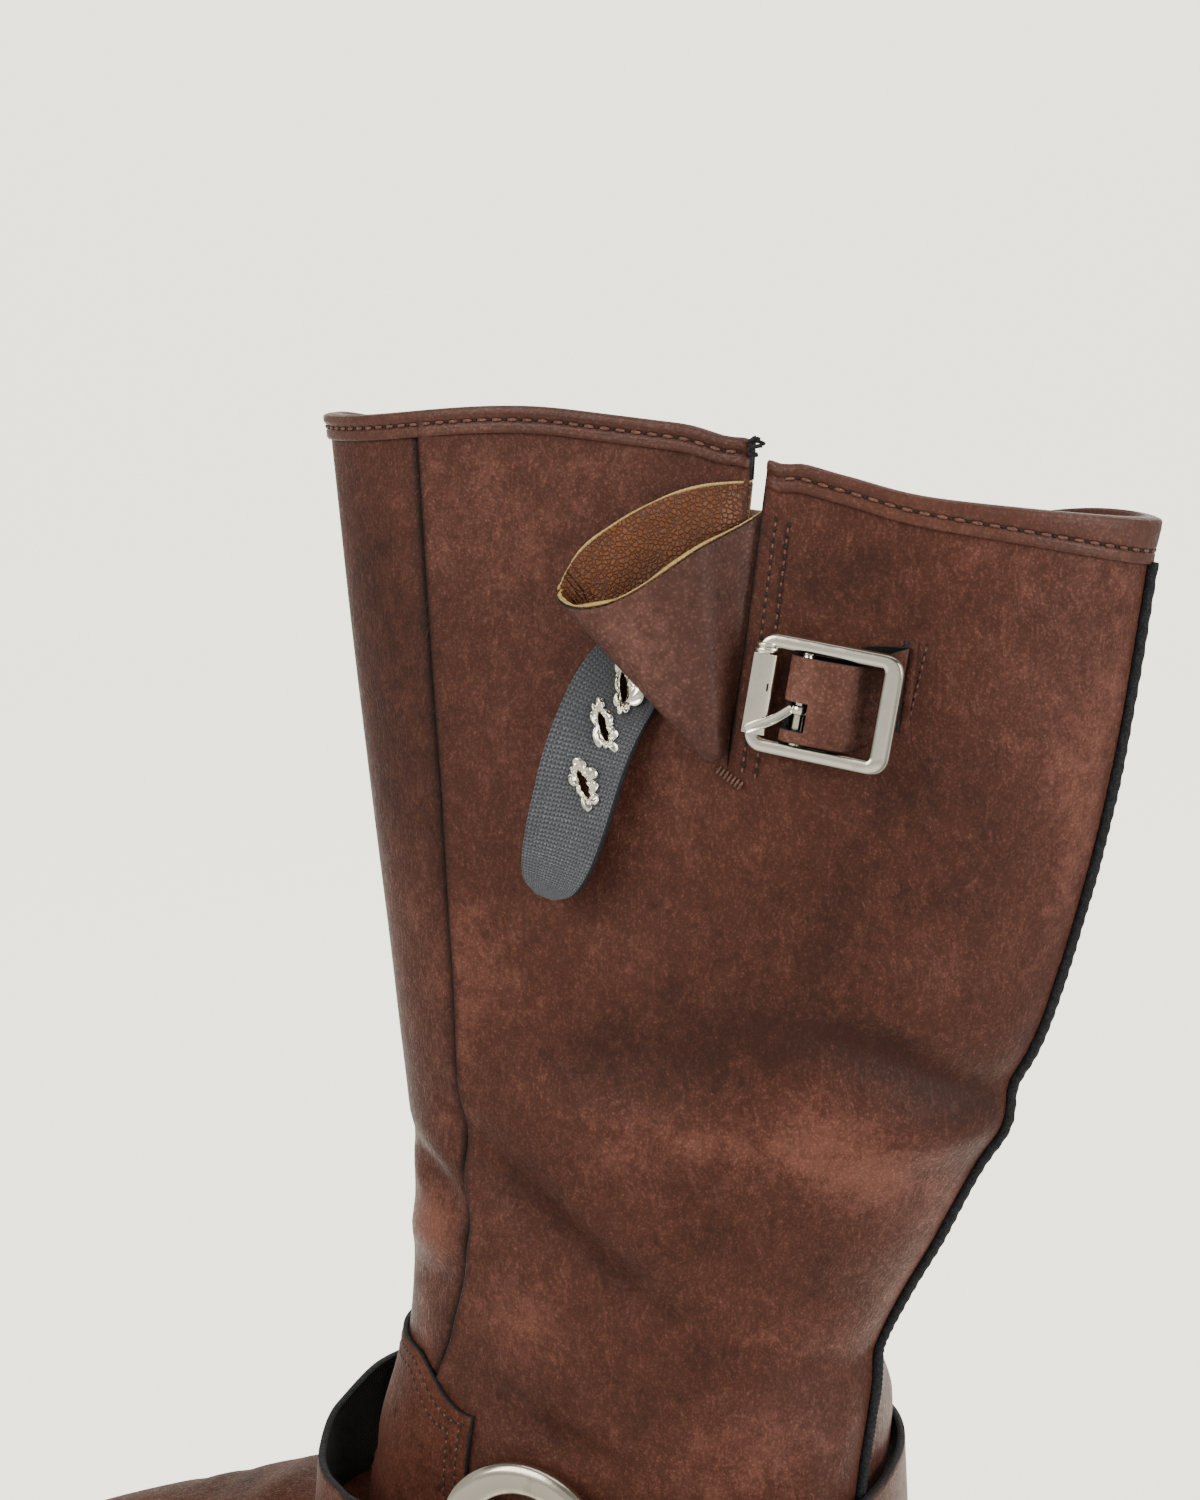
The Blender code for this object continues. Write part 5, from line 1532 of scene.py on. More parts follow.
@dataclass
class Binding:
    """Strip folded over the collar, rolled at its top and sewn above its lower edge."""

    upper: Upper
    drop_front: float = 4.7
    drop_back: float = 8.4
    inside: float = 7.0
    thickness: float = 0.85
    gap: float = 0.12
    stitch_up: float = 2.7
    roll: float = 0.4
    columns: int = 260
    rows: int = 52
    leaf: float = 0.9
    # Share of the turn that the strip covers, and step of the level that shows the way up the wall
    covered: float = 0.99999
    level_step: float = 0.02
    taper: float = 0.19
    # Stitches: the fifth of the fold's fourteen points, the shares round the collar and the lift
    stitch_at: float = 4 / 13
    stitch_span: tuple[float, float, int] = (0.004, 0.996, 900)
    stitch_lift: float = 0.22
    seam: Seam = Seam(3.5, 0.85, 0.68, 0.0, (0.46, 0.5))
    # Loose threads: share round the collar, places round the fold and ways in millimetres
    fray_in: float = 0.0005
    fray_at: tuple[float, ...] = (0.30, 0.42, 0.52, 0.60, 0.66, 0.72)
    fray_ways: tuple[tuple[float, float, float], ...] = (
        (2.0, -0.6, 0.3), (1.8, -0.9, 0.7), (2.6, 0.5, -0.5), (1.5, -0.4, 0.6), (3.0, 0.3, -0.8),
        (1.6, 0.6, 0.3),
    )
    fray_steps: int = 8
    fray_curl: float = 0.3
    fray_thin: float = 0.4

    def drop(self, turn: Points) -> Points:
        """Height of the strip below the collar's edge: taller towards the back."""
        from_back = np.minimum(turn % 1.0, 1 - turn % 1.0)
        return self.drop_back + (self.drop_front - self.drop_back) * smooth(from_back / self.taper)

    def profile(self, drop: Points, spot: Points) -> tuple[Points, Points]:
        """Lift off the wall and height over the collar, round the fold.

        Args:
            drop: Height of the strip below the collar's edge.
            spot: Place round the fold, from 0 at the lower edge to 1 at the edge inside.

        Returns:
            The lifts and the heights.
        """
        out = self.gap + self.thickness
        far = -self.upper.wall - self.gap - self.thickness
        high, low = self.gap + self.thickness, self.stitch_up - drop
        one = np.ones_like(drop)
        rows = (
            (out - 0.95, -drop), (out - 0.25, -drop - 0.05), (out, -drop + 0.4), (out, low - 0.9),
            (out - 0.5, low), (out + 0.1, low + 0.7), (out + self.roll, -drop * 0.14),
            (out + self.roll * 0.95, 0.1), (out + self.roll * 0.4, high * 0.66), (out - 0.9, high),
            (far + 0.9, high), (far, high * 0.4), (far, -self.inside * 0.5), (far + 0.1, -self.inside),
        )
        table = np.stack([np.stack([r[0] * one, r[1] * one], -1) for r in rows])
        place = np.clip(spot, 0, 1) * (len(rows) - 1)
        row = np.minimum(place.astype(int), len(rows) - 2)
        part = (place - row)[:, None]
        at = np.arange(len(drop))
        got = table[row, at] * (1 - part) + table[row + 1, at] * part
        return got[:, 0], got[:, 1]

    def spots(self, a: Points, spot: Points) -> tuple[Points, Points]:
        """Points of the strip and their outward way, for shares round the collar and round the fold."""
        turn = self.upper.slit_u + a * self.covered
        one = np.ones_like(turn)
        u = self.upper.around(turn, one)
        last = self.upper.last
        collar, out = last.skin(u, one), last.normal(u, one)
        up = unit(collar - last.skin(u, one - self.level_step))
        lift, height = self.profile(self.drop(u), spot)
        edge = collar + self.upper.raised(turn, one)
        return edge + out * lift[:, None] + up * height[:, None], out

    def build(self, finishes: Finishes) -> None:
        """Makes the strip and its frayed end at the slit."""
        def place(a: Points, b: Points) -> Points:
            """Outside of the strip."""
            return self.spots(1 - a, b)[0]

        def marks(a: Points, b: Points) -> dict[str, Points]:
            """Tone of the wax, darker on the part folded inside the collar."""
            turn = self.upper.slit_u + (1 - a)
            return {"tone": 0.10 + 0.06 * np.sin(turn * 40) * np.sin(turn * 23) - 0.10 * (b > 0.75)}

        bm = shaped_grid(self.columns, self.rows, place, marks)
        layers = (finishes.binding, finishes.cut_black, finishes.cut_black)
        piece = add_piece("collar_binding_leather", bm, layers, ("collar_binding",))
        thicken(piece, self.leaf, -1.0)
        self.build_fray(finishes)

    def build_fray(self, finishes: Finishes) -> None:
        """Loose threads at the strip's front end."""
        count = len(self.fray_at)
        root, _ = self.spots(np.full(count, self.fray_in), np.array(self.fray_at))
        share = np.linspace(0, 1, self.fray_steps)
        bm = bmesh.new()
        for number, (start, way) in enumerate(zip(root, self.fray_ways)):
            curl = np.column_stack([0 * share, np.sin(share * 5 + number), np.cos(share * 4 + number)])
            line = start + np.outer(share, way) + curl * self.fray_curl * share[:, None]
            profile = oval(1.5, 1.2, 2.0, 8) * (1 - self.fray_thin * number / count)
            join(bm, bar(14, 6, line, profile, INWARDS))
        add_piece("binding_fray", bm, (finishes.cord,))

    def sew(self, stitches: Stitcher) -> None:
        """Sews the strip above its lower edge."""
        a = np.linspace(*self.stitch_span)
        line, out = self.spots(a, np.full_like(a, self.stitch_at))
        stitches.sew(line + out * self.stitch_lift, out, self.seam)


@dataclass
class BackSeam:
    """Black cord sewn into the back seam."""

    binding: Binding
    radius: float = 1.3
    gap: float = -0.45
    twist: float = 150.0
    uneven: float = 0.07
    foot_level: float = 0.015
    under_binding: float = 0.4
    steps: int = 220

    def build(self, finishes: Finishes) -> None:
        """Makes the cord, ropey and a little uneven."""
        last = self.binding.upper.last
        collar = float(last.surface(0.0, 1.0)[2])
        top = last.level_at(0.0, collar - self.binding.drop_back + self.under_binding)
        levels = np.linspace(self.foot_level, top, self.steps)
        line = last.skin(np.zeros_like(levels), levels, self.radius + self.gap)
        body = along_path(line, oval(1.0, 1.0, 2.0, 24), np.broadcast_to(INWARDS, line.shape))

        def place(a: Points, b: Points) -> Points:
            """Ropey outside of the cord."""
            middle = between(line, a)
            rope = np.sin(np.pi * 2 * (a * self.twist + b * 2))
            lumps = np.sin(a * 97.0) * np.sin(a * 41.0 + 1.0)
            size = 2 * self.radius * (1 + self.uneven * rope + self.uneven * lumps)
            return middle + (body(a, b) - middle) * size[:, None]

        bm = shaped_grid(900, 12, place)
        close_ends(bm)
        add_piece("back_piping_cord", bm, (finishes.cord,), ("back_piping",))


@dataclass
class Gusset:
    """Leaf folded into the slit: leather outside, tan lining inside, its cut edge left raw."""

    last: Last
    foot_at: Spot = (66.5, 289.5)
    fold_deg: float = 42.6
    back_deg: float = -4.7
    front_deg: float = -9.0
    back_leaf: tuple[float, float, float] = (58.8, 47.8, 0.0)
    front_leaf: tuple[float, float, float] = (54.9, 47.8, -12.7)
    sag: float = 0.78
    start: float = 0.06
    tuck: float = -1.2
    bulge: float = 7.6
    clear: float = 7.0
    leather: float = 0.65
    lining: float = 0.85
    lining_proud: float = 0.6
    # Power that gathers the rows at the free edge, and the share from which the raw rim shows
    gather: float = 1.6
    rim_from: float = 0.992
    rim_over: float = 0.004
    # Lifts off the shaft of the inner and the outer leaf, and what the outer one gains up to the edge
    inner_lift: float = 1.3
    outer_lift: float = 3.1
    outer_gain: float = 1.2
    bulge_power: float = 0.9
    under_collar: float = 0.5
    # Shares of the leaf over which it rounds the fold, and over which it is tucked in at the back and front
    round_over: float = 0.07
    tuck_over: Spot = (0.10, 0.16)
    columns: int = 150
    rows: int = 40

    def place(self, a: Points, b: Points, proud: float = 0.0) -> Points:
        """Middle of the leaf: a from the slit by the back leaf to the fold and back, b from its foot up."""
        u, v = self.last.locate(*self.foot_at)
        foot = self.last.surface(u, v)
        b = self.gathered(b)
        fold = 1 - np.abs(2 * a - 1)
        behind = a < 0.5
        leaf = np.where(behind[:, None], self.back_leaf, self.front_leaf)
        hang = np.sin(np.pi * fold ** np.where(behind, 1.0, self.sag))
        reach = leaf[:, 0] + (leaf[:, 1] - leaf[:, 0]) * fold + leaf[:, 2] * hang + proud
        r = reach * (self.start + (1 - self.start) * b)
        opened = np.sin(np.pi * fold / 2)
        ends = np.where(behind, self.back_deg, self.front_deg)
        angle = np.radians(ends + (self.fold_deg - ends) * opened)
        grow = r / self.back_leaf[1]
        x, z = foot[0] - r * np.sin(angle), foot[2] + r * np.cos(angle)
        collar = self.last.surface(self.last.turn_of(x, np.ones_like(x)), np.ones_like(x))[:, 2]
        u, v = self.last.locate(x, np.minimum(z, collar - self.under_collar))
        inner = self.inner_lift + self.clear * grow * opened
        full = self.clear * opened + self.outer_gain + self.bulge * np.sin(np.pi * fold**self.bulge_power)
        outer = self.outer_lift + grow * full
        round_off = np.clip((1 - fold) / self.round_over, 0, 1)
        middle = (inner + outer) / 2
        lift = middle + (np.where(behind, inner, outer) - middle) * np.sqrt(round_off * (2 - round_off))
        tucked = smooth(fold / np.where(behind, *self.tuck_over))
        return self.last.skin(u, v, self.tuck + (lift - self.tuck) * tucked)

    def gathered(self, b: Points) -> Points:
        """Shares up the leaf, closer together towards its free edge."""
        return 1 - (1 - b) ** self.gather

    def pleats(self, a: Points, b: Points) -> Points:
        """Height of the lining's small folds, deepest beside the fold."""
        near = np.exp(-((a - 0.42) / 0.09) ** 2) * smooth(b / 0.5)
        coarse = np.sin(a * 260.0 + 2.0 * np.sin(b * 9.0))
        wave = coarse + 0.5 * np.sin(a * 431.0 + 3.0 * np.sin(b * 6.0 + 1.0))
        return 0.30 * near * wave + 0.10 * np.sin(b * 23.0 + a * 31.0) * smooth(b / 0.6)

    def build(self, finishes: Finishes) -> None:
        """Makes the two layers."""
        def marks(a: Points, b: Points) -> dict[str, Points]:
            """Painted light across the middle of the outer leaf, and painted shade along the turn of the fold
            and towards the slit, over the tone of the wax.
            """
            front = np.clip(2 * a - 1, 0, 1)
            lit = 0.24 * np.exp(-(((front - 0.40) / 0.22) ** 2)) * smooth(b / 0.6)
            # Painted shade where the leaf turns away at the fold
            turned = 0.75 * np.exp(-((front / 0.07) ** 2)) * (a >= 0.5) * (1 - smooth((b - 0.9) / 0.1))
            # The last term paints shade towards the slit
            return {"tone": 0.04 + lit - 0.10 * smooth((a - 0.86) / 0.14), "seam": turned}

        bm = shaped_grid(self.columns, self.rows, self.place, marks)
        layers = (finishes.gusset, finishes.cut_black, finishes.cut_black)
        piece = add_piece("gusset_leather", bm, layers, ("gusset",))
        thicken(piece, self.leather, 1.0)
        inside = pushed(lambda a, b: self.place(a, b, self.lining_proud), self.pleats)
        bm = shaped_grid(self.columns, self.rows, inside,
                         lambda a, b: {"rim": smooth((self.gathered(b) - self.rim_from) / self.rim_over)})
        piece = add_piece("gusset_lining", bm, (finishes.tan, finishes.tan, finishes.cut_yellow))
        thicken(piece, self.lining, -1.0)


@dataclass
class TopStrap:
    """Unfastened strap, hanging with its knitted back outwards, and its crimped eyelets."""

    last: Last
    thickness: float = 1.8
    eyelets_at: tuple[float, ...] = (0.225, 0.355, 0.515)
    eyelet_aside: float = 1.2
    eyelet_long: float = 3.1
    eyelet_short: float = 0.6
    petal: Spot = (2.4, 2.7)
    petals: int = 8
    petal_thick: float = 0.28
    hole_margin: float = 0.35
    eyelet_turn: float = math.radians(-38.0)
    share_step: float = 0.02
    # Height of the curl at the edges, in millimetres, at a width in millimetres
    curl: Spot = (1.1, 18.0)
    # Middle in the side view, lift off the shaft, turn of its width and width
    rows: tuple[tuple[float, ...], ...] = (
        (51.0, 314.5, 1.4, 0.62, -0.78, 15.0),
        (47.2, 310.0, 1.8, 0.72, -0.69, 17.0),
        (42.8, 302.5, 3.2, 0.92, -0.39, 18.5),
        (39.0, 292.0, 5.0, 0.98, -0.20, 18.5),
        (36.4, 281.0, 6.4, 0.99, -0.12, 18.0),
        (33.5, 270.0, 7.0, 0.97, -0.22, 16.0),
        (31.4, 263.5, 7.0, 0.96, -0.26, 11.5),
        (30.6, 261.2, 6.9, 0.96, -0.26, 4.0),
    )

    def hanging(self, share: Points) -> tuple[Points, Points, Points]:
        """Middle, way across and width at a share of the strap's length."""
        table = np.array(self.rows)
        row = monotone(table, np.asarray(share) * (len(table) - 1))
        u, v = self.last.locate(row[:, 0], row[:, 1])
        middle = self.last.surface(u, v) + self.last.normal(u, v) * row[:, 2:3]
        across = unit(np.column_stack([row[:, 3], np.zeros(len(row)), row[:, 4]]))
        return middle, across, row[:, 5]

    def place(self, a: Points, b: Points) -> Points:
        """Middle of the strap, its edges curled a little outwards."""
        middle, across, width = self.hanging(a)
        height, full = self.curl
        curl = height * (2 * b - 1) ** 2 * smooth((a - 0.2) / 0.3) * (width / full) ** 2
        return middle + across * ((b - 0.5) * width)[:, None] - np.outer(curl, INWARDS)

    def axes(self, share: float) -> tuple[Points, Points]:
        """Middle of an eyelet at a share of the length, and its axes as rows: short, long, outwards."""
        middle, across, _ = self.hanging(share + self.share_step * np.array((-1.0, 0.0, 1.0)))
        along = unit(middle[2] - middle[0])
        out = unit(np.cross(along, across[1]))
        cos, sin = math.cos(self.eyelet_turn), math.sin(self.eyelet_turn)
        one = across[1] * cos + along * sin
        two = along * cos - across[1] * sin
        return middle[1] + across[1] * self.eyelet_aside, np.stack([one, two, out * np.sign(-out[1])])

    def build(self, finishes: Finishes) -> None:
        """Makes the strap with its holes, and the eyelets."""
        def marks(a: Points, b: Points) -> dict[str, Points]:
            """Shade under the collar."""
            return {"shade": 0.95 * (1 - smooth((a - 0.05) / 0.48)) * (0.6 + 0.4 * smooth(b * 1.3))}

        bm = shaped_grid(150, 44, self.place, marks)
        for share in self.eyelets_at:
            middle, axes = self.axes(share)
            holed = []
            for face in bm.faces:
                across, along, _ = axes @ (in_last(face.calc_center_median()) - middle)
                wide = across / (self.eyelet_short + self.hole_margin)
                if wide**2 + (along / self.eyelet_long) ** 2 < 1:
                    holed.append(face)
            bmesh.ops.delete(bm, geom=holed, context="FACES")
        layers = (finishes.knit, finishes.strap, finishes.cut_black)
        piece = add_piece("top_strap_leather", bm, layers, ("top_strap",))
        thicken(piece, self.thickness, 0.0)
        for number, share in enumerate(self.eyelets_at, 1):
            self.build_eyelet(number, share, finishes)

    def build_eyelet(self, number: int, share: float, finishes: Finishes) -> None:
        """Makes an eyelet's back: the crumpled petals that were crimped over round its narrow hole."""
        middle, (across, along, out) = self.axes(share)
        petals = self.petals
        sizes = 1.0 + 0.32 * np.sin(np.arange(petals) * 3.7 + number * 1.9)
        leans = 0.5 + 0.5 * np.sin(np.arange(petals) * 5.3 + number * 2.7)

        def place(a: Points, b: Points) -> Points:
            """Crumpled petals, a round the hole and b outwards."""
            turn = a * petals + 0.22 * np.sin(a * 12.0 + number * 2.0)
            which = np.floor(turn).astype(int) % petals
            lobe = np.abs(np.sin(np.pi * turn)) ** 0.55
            angle = 2 * np.pi * a
            span = smooth(b / 0.22) * 0.12 + 0.88 * b
            reach = span * (0.42 + 0.58 * lobe) * sizes[which]
            wide = self.eyelet_short + self.petal[0] * reach * (1 + 0.4 * np.cos(angle))
            long = self.eyelet_long + self.petal[1] * reach
            rise = 1.5 * smooth(b / 0.18) - 0.75
            arch = 0.55 * np.sin(np.pi * np.clip((b - 0.1) / 0.9, 0, 1)) * lobe
            curl = 0.55 * leans[which] * lobe * smooth((b - 0.55) / 0.45)
            crumple = 0.14 * np.sin(turn * 9.0 + b * 7.0) * smooth(b / 0.4)
            height = self.thickness / 2 + rise * 0.55 + arch + curl + crumple
            return (middle + np.outer(np.cos(angle) * wide, across) + np.outer(np.sin(angle) * long, along)
                    + np.outer(height, out))

        bm = shaped_grid(160, 18, place)
        bmesh.ops.remove_doubles(bm, verts=bm.verts, dist=WELD_WIDE)
        piece = add_piece(f"eyelet_back_{number}", bm, (finishes.nickel,), (f"eyelet_{number}",))
        thicken(piece, self.petal_thick, 0.0, back=0, rim=0)


@dataclass
class Buckle:
    """Frame, its sleeve and centre bar, the prong on the bar and the tab that holds the bar."""

    last: Last
    at: Spot = (87.5, 304.5)
    turn: float = math.radians(2.0)
    long: float = 30.0
    tall: float = 25.0
    corner: float = 2.4
    bar: float = 1.75
    centre_bar: float = 1.2
    centre_at: float = -4.3
    left_lift: float = 3.3
    right_lift: float = 6.4
    tab_tall: float = 17.4
    tab_thick: float = 1.4
    tab_end: float = 15.0
    tab_shear: float = 5.0
    prong_at: float = -2.2
    prong_skew: float = math.radians(30.0)
    prong_slot: Spot = (-6.3, -0.5)
    # How far behind the centre bar's middle the tab's slot for the prong ends, and how far below it
    slot_behind: float = 1.6
    slot_below: float = 1.0
    gap: float = 0.4
    # Section of the frame: width, what the right bar gains, depth and squareness
    frame_wide: float = 3.1
    frame_gain: float = 1.0
    frame_section: tuple[float, float, float, int] = (1.0, 2.9, 3.2, 32)
    corner_steps: int = 8
    # Sleeve: heights of its sections; height and size of each coil at its crimped end
    sleeve_rows: tuple[float, ...] = (-8.6, -8.2, -4.0, 0.0, 4.0, 7.4, 7.8)
    coils: tuple[Spot, ...] = ((8.6, 4.5), (9.7, 4.1))
    notch: tuple[float, float, float] = (2.3, 1.7, 0.2)
    notch_soft: float = 0.08
    # Cut in the panel and its lip: ends in the side view, lift and section
    slit_edge: tuple[Spot, Spot] = ((103.4, 316.8), (101.6, 298.4))
    slit_edge_lift: float = 0.12
    slit_edge_section: Spot = (1.3, 0.5)
    slit_lip: tuple[Spot, Spot] = ((104.7, 316.8), (102.8, 298.4))
    slit_lip_lift: float = 0.25
    slit_lip_section: Spot = (2.0, 0.9)
    sewn_line: tuple[Spot, Spot] = ((107.2, 316.2), (103.4, 298.2))
    seam: Seam = Seam(1.9, 0.55, 0.6, 0.1)
    # Pressed section of the prong
    prong_section: tuple[Spot, ...] = (
        (-0.85, 0.35), (0.85, 0.35), (1.0, 0.0), (0.85, -0.32), (0.3, -0.08), (-0.3, -0.08), (-0.85, -0.32),
        (-1.0, 0.0),
    )

    def __post_init__(self) -> None:
        """Finds the buckle's place on the shaft and its axes: towards the back, upwards, outwards."""
        u, v = self.last.locate(*self.at)
        self.out = self.last.normal(u, v)
        level = unit(self.last.surface(u - 0.01, v) - self.last.surface(u + 0.01, v))
        self.back = level * math.cos(self.turn) + np.cross(self.out, level) * math.sin(self.turn)
        self.up = np.cross(self.out, self.back)
        self.origin = self.last.surface(u, v)
        self.wide = self.long / 2 - self.bar
        self.high = self.tall / 2 - self.bar
        self.centre_lift = float(self.lift(self.centre_at))

    def on(self, x: Points, y: Points, lift: Points) -> Points:
        """Points in the buckle's own axes."""
        x, y, lift = np.broadcast_arrays(np.asarray(x, float), np.asarray(y, float), np.asarray(lift, float))
        return self.origin + x[..., None] * self.back + y[..., None] * self.up + lift[..., None] * self.out

    def lift(self, x: Points) -> Points:
        """Height of the frame's plane over the shaft."""
        share = (np.asarray(x, float) + self.wide) / (2 * self.wide)
        return self.left_lift + (self.right_lift - self.left_lift) * share

    def build(self, finishes: Finishes) -> None:
        """Makes every piece of the buckle."""
        self.build_frame(finishes)
        self.build_sleeve(finishes)
        self.build_tab(finishes)
        self.build_prong(finishes)

    def build_frame(self, finishes: Finishes) -> None:
        """Makes the frame, broader on its right bar, and the centre bar."""
        path, ways = [], []
        for quarter, (sx, sy) in enumerate(((1, 1), (-1, 1), (-1, -1), (1, -1))):
            for step in range(self.corner_steps + 1):
                angle = math.pi / 2 * (quarter + step / self.corner_steps)
                path.append((sx * (self.wide - self.corner) + self.corner * math.cos(angle),
                             sy * (self.high - self.corner) + self.corner * math.sin(angle)))
                ways.append((math.cos(angle), math.sin(angle)))
        path, ways = np.array(path), np.array(ways)
        plane = self.on(1.0, 0.0, self.lift(1.0)) - self.on(0.0, 0.0, self.lift(0.0))
        plane_out = unit(np.cross(plane, self.up))
        first = unit(np.outer(ways[:, 0], np.cross(self.up, plane_out)) + np.outer(ways[:, 1], self.up))
        line = self.on(path[:, 0], path[:, 1], self.lift(path[:, 0]))
        gain = smooth((path[:, 0] - self.wide + self.corner) / self.corner)
        scaled = first * (self.frame_wide + self.frame_gain * gain)[:, None]

        def marks(a: Points, b: Points) -> dict[str, Points]:
            """Painted dark reflections along the edges of the bars."""
            return {"seam": np.exp(-(((1 - np.abs(np.sin(4 * np.pi * b))) / 0.12) ** 2))}

        bm = bar(160, 32, line, oval(*self.frame_section), scaled, closed=True, marks=marks)
        middle = self.on(self.centre_at, np.linspace(-self.high, self.high, 6), self.centre_lift)
        join(bm, bar(5, 12, middle, oval(2 * self.centre_bar, 2 * self.centre_bar), self.back))
        add_piece("buckle_frame_bars", bm, (finishes.nickel,), ("buckle_frame",))

    def round_bar(self, count: int) -> tuple[Points, Points, Points]:
        """Cosines, sines and outward ways once round a bar that runs upwards."""
        cos, sin = circle(count)
        return cos, sin, unit(np.outer(cos, self.back) + np.outer(sin, self.out))

    def build_sleeve(self, finishes: Finishes) -> None:
        """Makes the sleeve rolled round the left bar, its crimped top end, and a thin dark block that paints
        the shade in its small notch.
        """
        line = self.on(-self.wide + 0.35, np.array(self.sleeve_rows), self.left_lift + 0.15)
        bm = bar(40, 24, line, oval(5.3, 3.8, 4.5, 32), self.back)
        cos, sin, first = self.round_bar(24)
        for y, size in self.coils:
            lift = self.left_lift + sin * size * 0.42
            ring = self.on(-self.wide + 0.3 + cos * size / 2, y + 0.25 * cos, lift)
            join(bm, bar(48, 10, ring, oval(0.9, 1.1), first, closed=True))
        add_piece("buckle_sleeve", bm, (finishes.nickel,))
        # Thin dark block that paints the shade in the sleeve's small notch
        bm = bmesh.new()
        spot = self.on(-self.wide + 0.9, 1.2, self.left_lift + 1.92)
        axes = np.stack([self.back, self.up, self.out])
        bmesh.ops.create_cube(bm, size=1.0, matrix=placed(spot, axes, self.notch))
        bmesh.ops.bevel(bm, geom=bm.edges[:], offset=self.notch_soft * MM, affect="EDGES", segments=2,
                        profile=0.5, material=-1)
        add_piece("sleeve_notch_shade", bm, (finishes.hole,))

    def tab_line(self) -> Points:
        """Middle of the tab from its inner end, round the centre bar, to its outer end: x, lift and shift."""
        bend = self.centre_bar + 0.75 + self.tab_thick / 2
        turn = np.linspace(1.5 * math.pi, 0.5 * math.pi, 13)
        fold = np.column_stack([self.centre_at + bend * np.cos(turn), self.centre_lift + bend * np.sin(turn),
                                np.zeros(len(turn))])
        half, shear = self.tab_thick / 2, self.tab_shear
        inner = ((self.tab_end, half + 0.1, shear), (self.tab_end * 0.5, half + 0.5, shear * 0.8),
                 (1.0, half + 0.8, shear * 0.25))
        high, top = self.tab_thick * 1.5 + 0.6, self.centre_lift + bend
        outer = ((0.0, top + 0.1, 0.0), (3.0, top - 0.2, 0.0), (5.6, top - 1.1, 0.0),
                 (7.3, self.centre_lift - 0.4, 0.0), (8.6, high + 0.35, 0.6), (12.0, high + 0.1, shear * 0.7),
                 (self.tab_end, high, shear))
        return np.concatenate([np.array(inner), fold, np.array(outer)])

    def build_tab(self, finishes: Finishes) -> None:
        """Makes the tab, slotted for the prong, and the cut in the panel that it goes into."""
        line = even_path(self.tab_line(), 110)

        def place(a: Points, b: Points) -> Points:
            """Middle of the tab."""
            x, lift, shift = between(line, a).T
            return self.on(x, (b - 0.5) * self.tab_tall + shift, lift)

        def marks(a: Points, b: Points) -> dict[str, Points]:
            """Painted highlight along the middle of the roll, painted shade at the fold's left edge, darker
            towards the tab's edges, and painted shadow where the tab goes in, over the tone of the wax.
            """
            # Painted highlight at the roll's middle and painted shade at the fold's left edge
            lit = 0.20 * np.exp(-(((a - 0.55) / 0.07) ** 2)) - 0.30 * (1 - smooth((a - 0.38) / 0.08))
            # Painted shadow where the tab drops in behind the right bar
            low = smooth((a - 0.72) / 0.08) * (1 - smooth((a - 0.88) / 0.1))
            return {"tone": 0.12 + lit - 0.22 * low - 0.08 * np.abs(2 * b - 1), "seam": 0.28 * low}

        bm = shaped_grid(109, 44, place, marks)
        low, high = self.prong_slot
        slotted = []
        for face in bm.faces:
            off = in_last(face.calc_center_median()) - self.origin
            in_fold = off @ self.back < self.centre_at + self.slot_behind
            if low < off @ self.up < high and in_fold and off @ self.out > self.centre_lift - self.slot_below:
                slotted.append(face)
        bmesh.ops.delete(bm, geom=slotted, context="FACES")
        layers = (finishes.strap, finishes.black_backing, finishes.cut_black)
        piece = add_piece("buckle_tab_leather", bm, layers, ("buckle_tab",))
        thicken(piece, self.tab_thick, 0.0)
        path, _ = self.last.trace(self.slit_edge, 24, self.slit_edge_lift)
        bm = bar(46, 10, path, oval(*self.slit_edge_section), self.back)
        add_piece("tab_slit_edge", bm, (finishes.cut_black,))
        path, _ = self.last.trace(self.slit_lip, 24, self.slit_lip_lift)
        bm = bar(46, 10, path, oval(*self.slit_lip_section), self.back)
        add_piece("tab_slit_lip", bm, (finishes.leather,))

    def build_prong(self, finishes: Finishes) -> None:
        """Makes the prong: an eye on the centre bar and a pressed strip that rests on the sleeve."""
        rest_x = -self.wide - self.bar * 0.6
        far = rest_x - self.centre_at
        rest = self.left_lift + self.bar + 0.75 + self.gap - self.centre_lift
        slope = math.tan(self.prong_skew)
        # Shares of the way to the sleeve and the lifts there
        spots = ((0.5, rest * 0.7 + 0.25), (0.86, rest + 0.2), (1.0, rest - 0.1))
        shank = [(-1.6, self.prong_at, 0.4)]
        shank += [(far * share, self.prong_at + far * share * slope, lift) for share, lift in spots]
        path = even_path(np.array(shank), 24)
        line = self.on(self.centre_at + path[:, 0], path[:, 1], self.centre_lift + path[:, 2])
        first = unit(np.cross(np.gradient(line, axis=0), self.out))
        bm = bar(46, 24, line, np.array(self.prong_section), first)
        size = self.centre_bar + 0.42
        cos, sin, first = self.round_bar(24)
        ring = self.on(self.centre_at + cos * size, self.prong_at, self.centre_lift + sin * size)
        join(bm, bar(48, 8, ring, oval(0.4, 1.8, 3.0), first, closed=True))
        add_piece("buckle_prong_strip", bm, (finishes.nickel,), ("buckle_prong",), PRONG_BODY)

    def sew(self, stitches: Stitcher) -> None:
        """Sews the panel behind the tab's cut."""
        stitches.sew(*self.last.trace(self.sewn_line, 40, 0.0), self.seam)


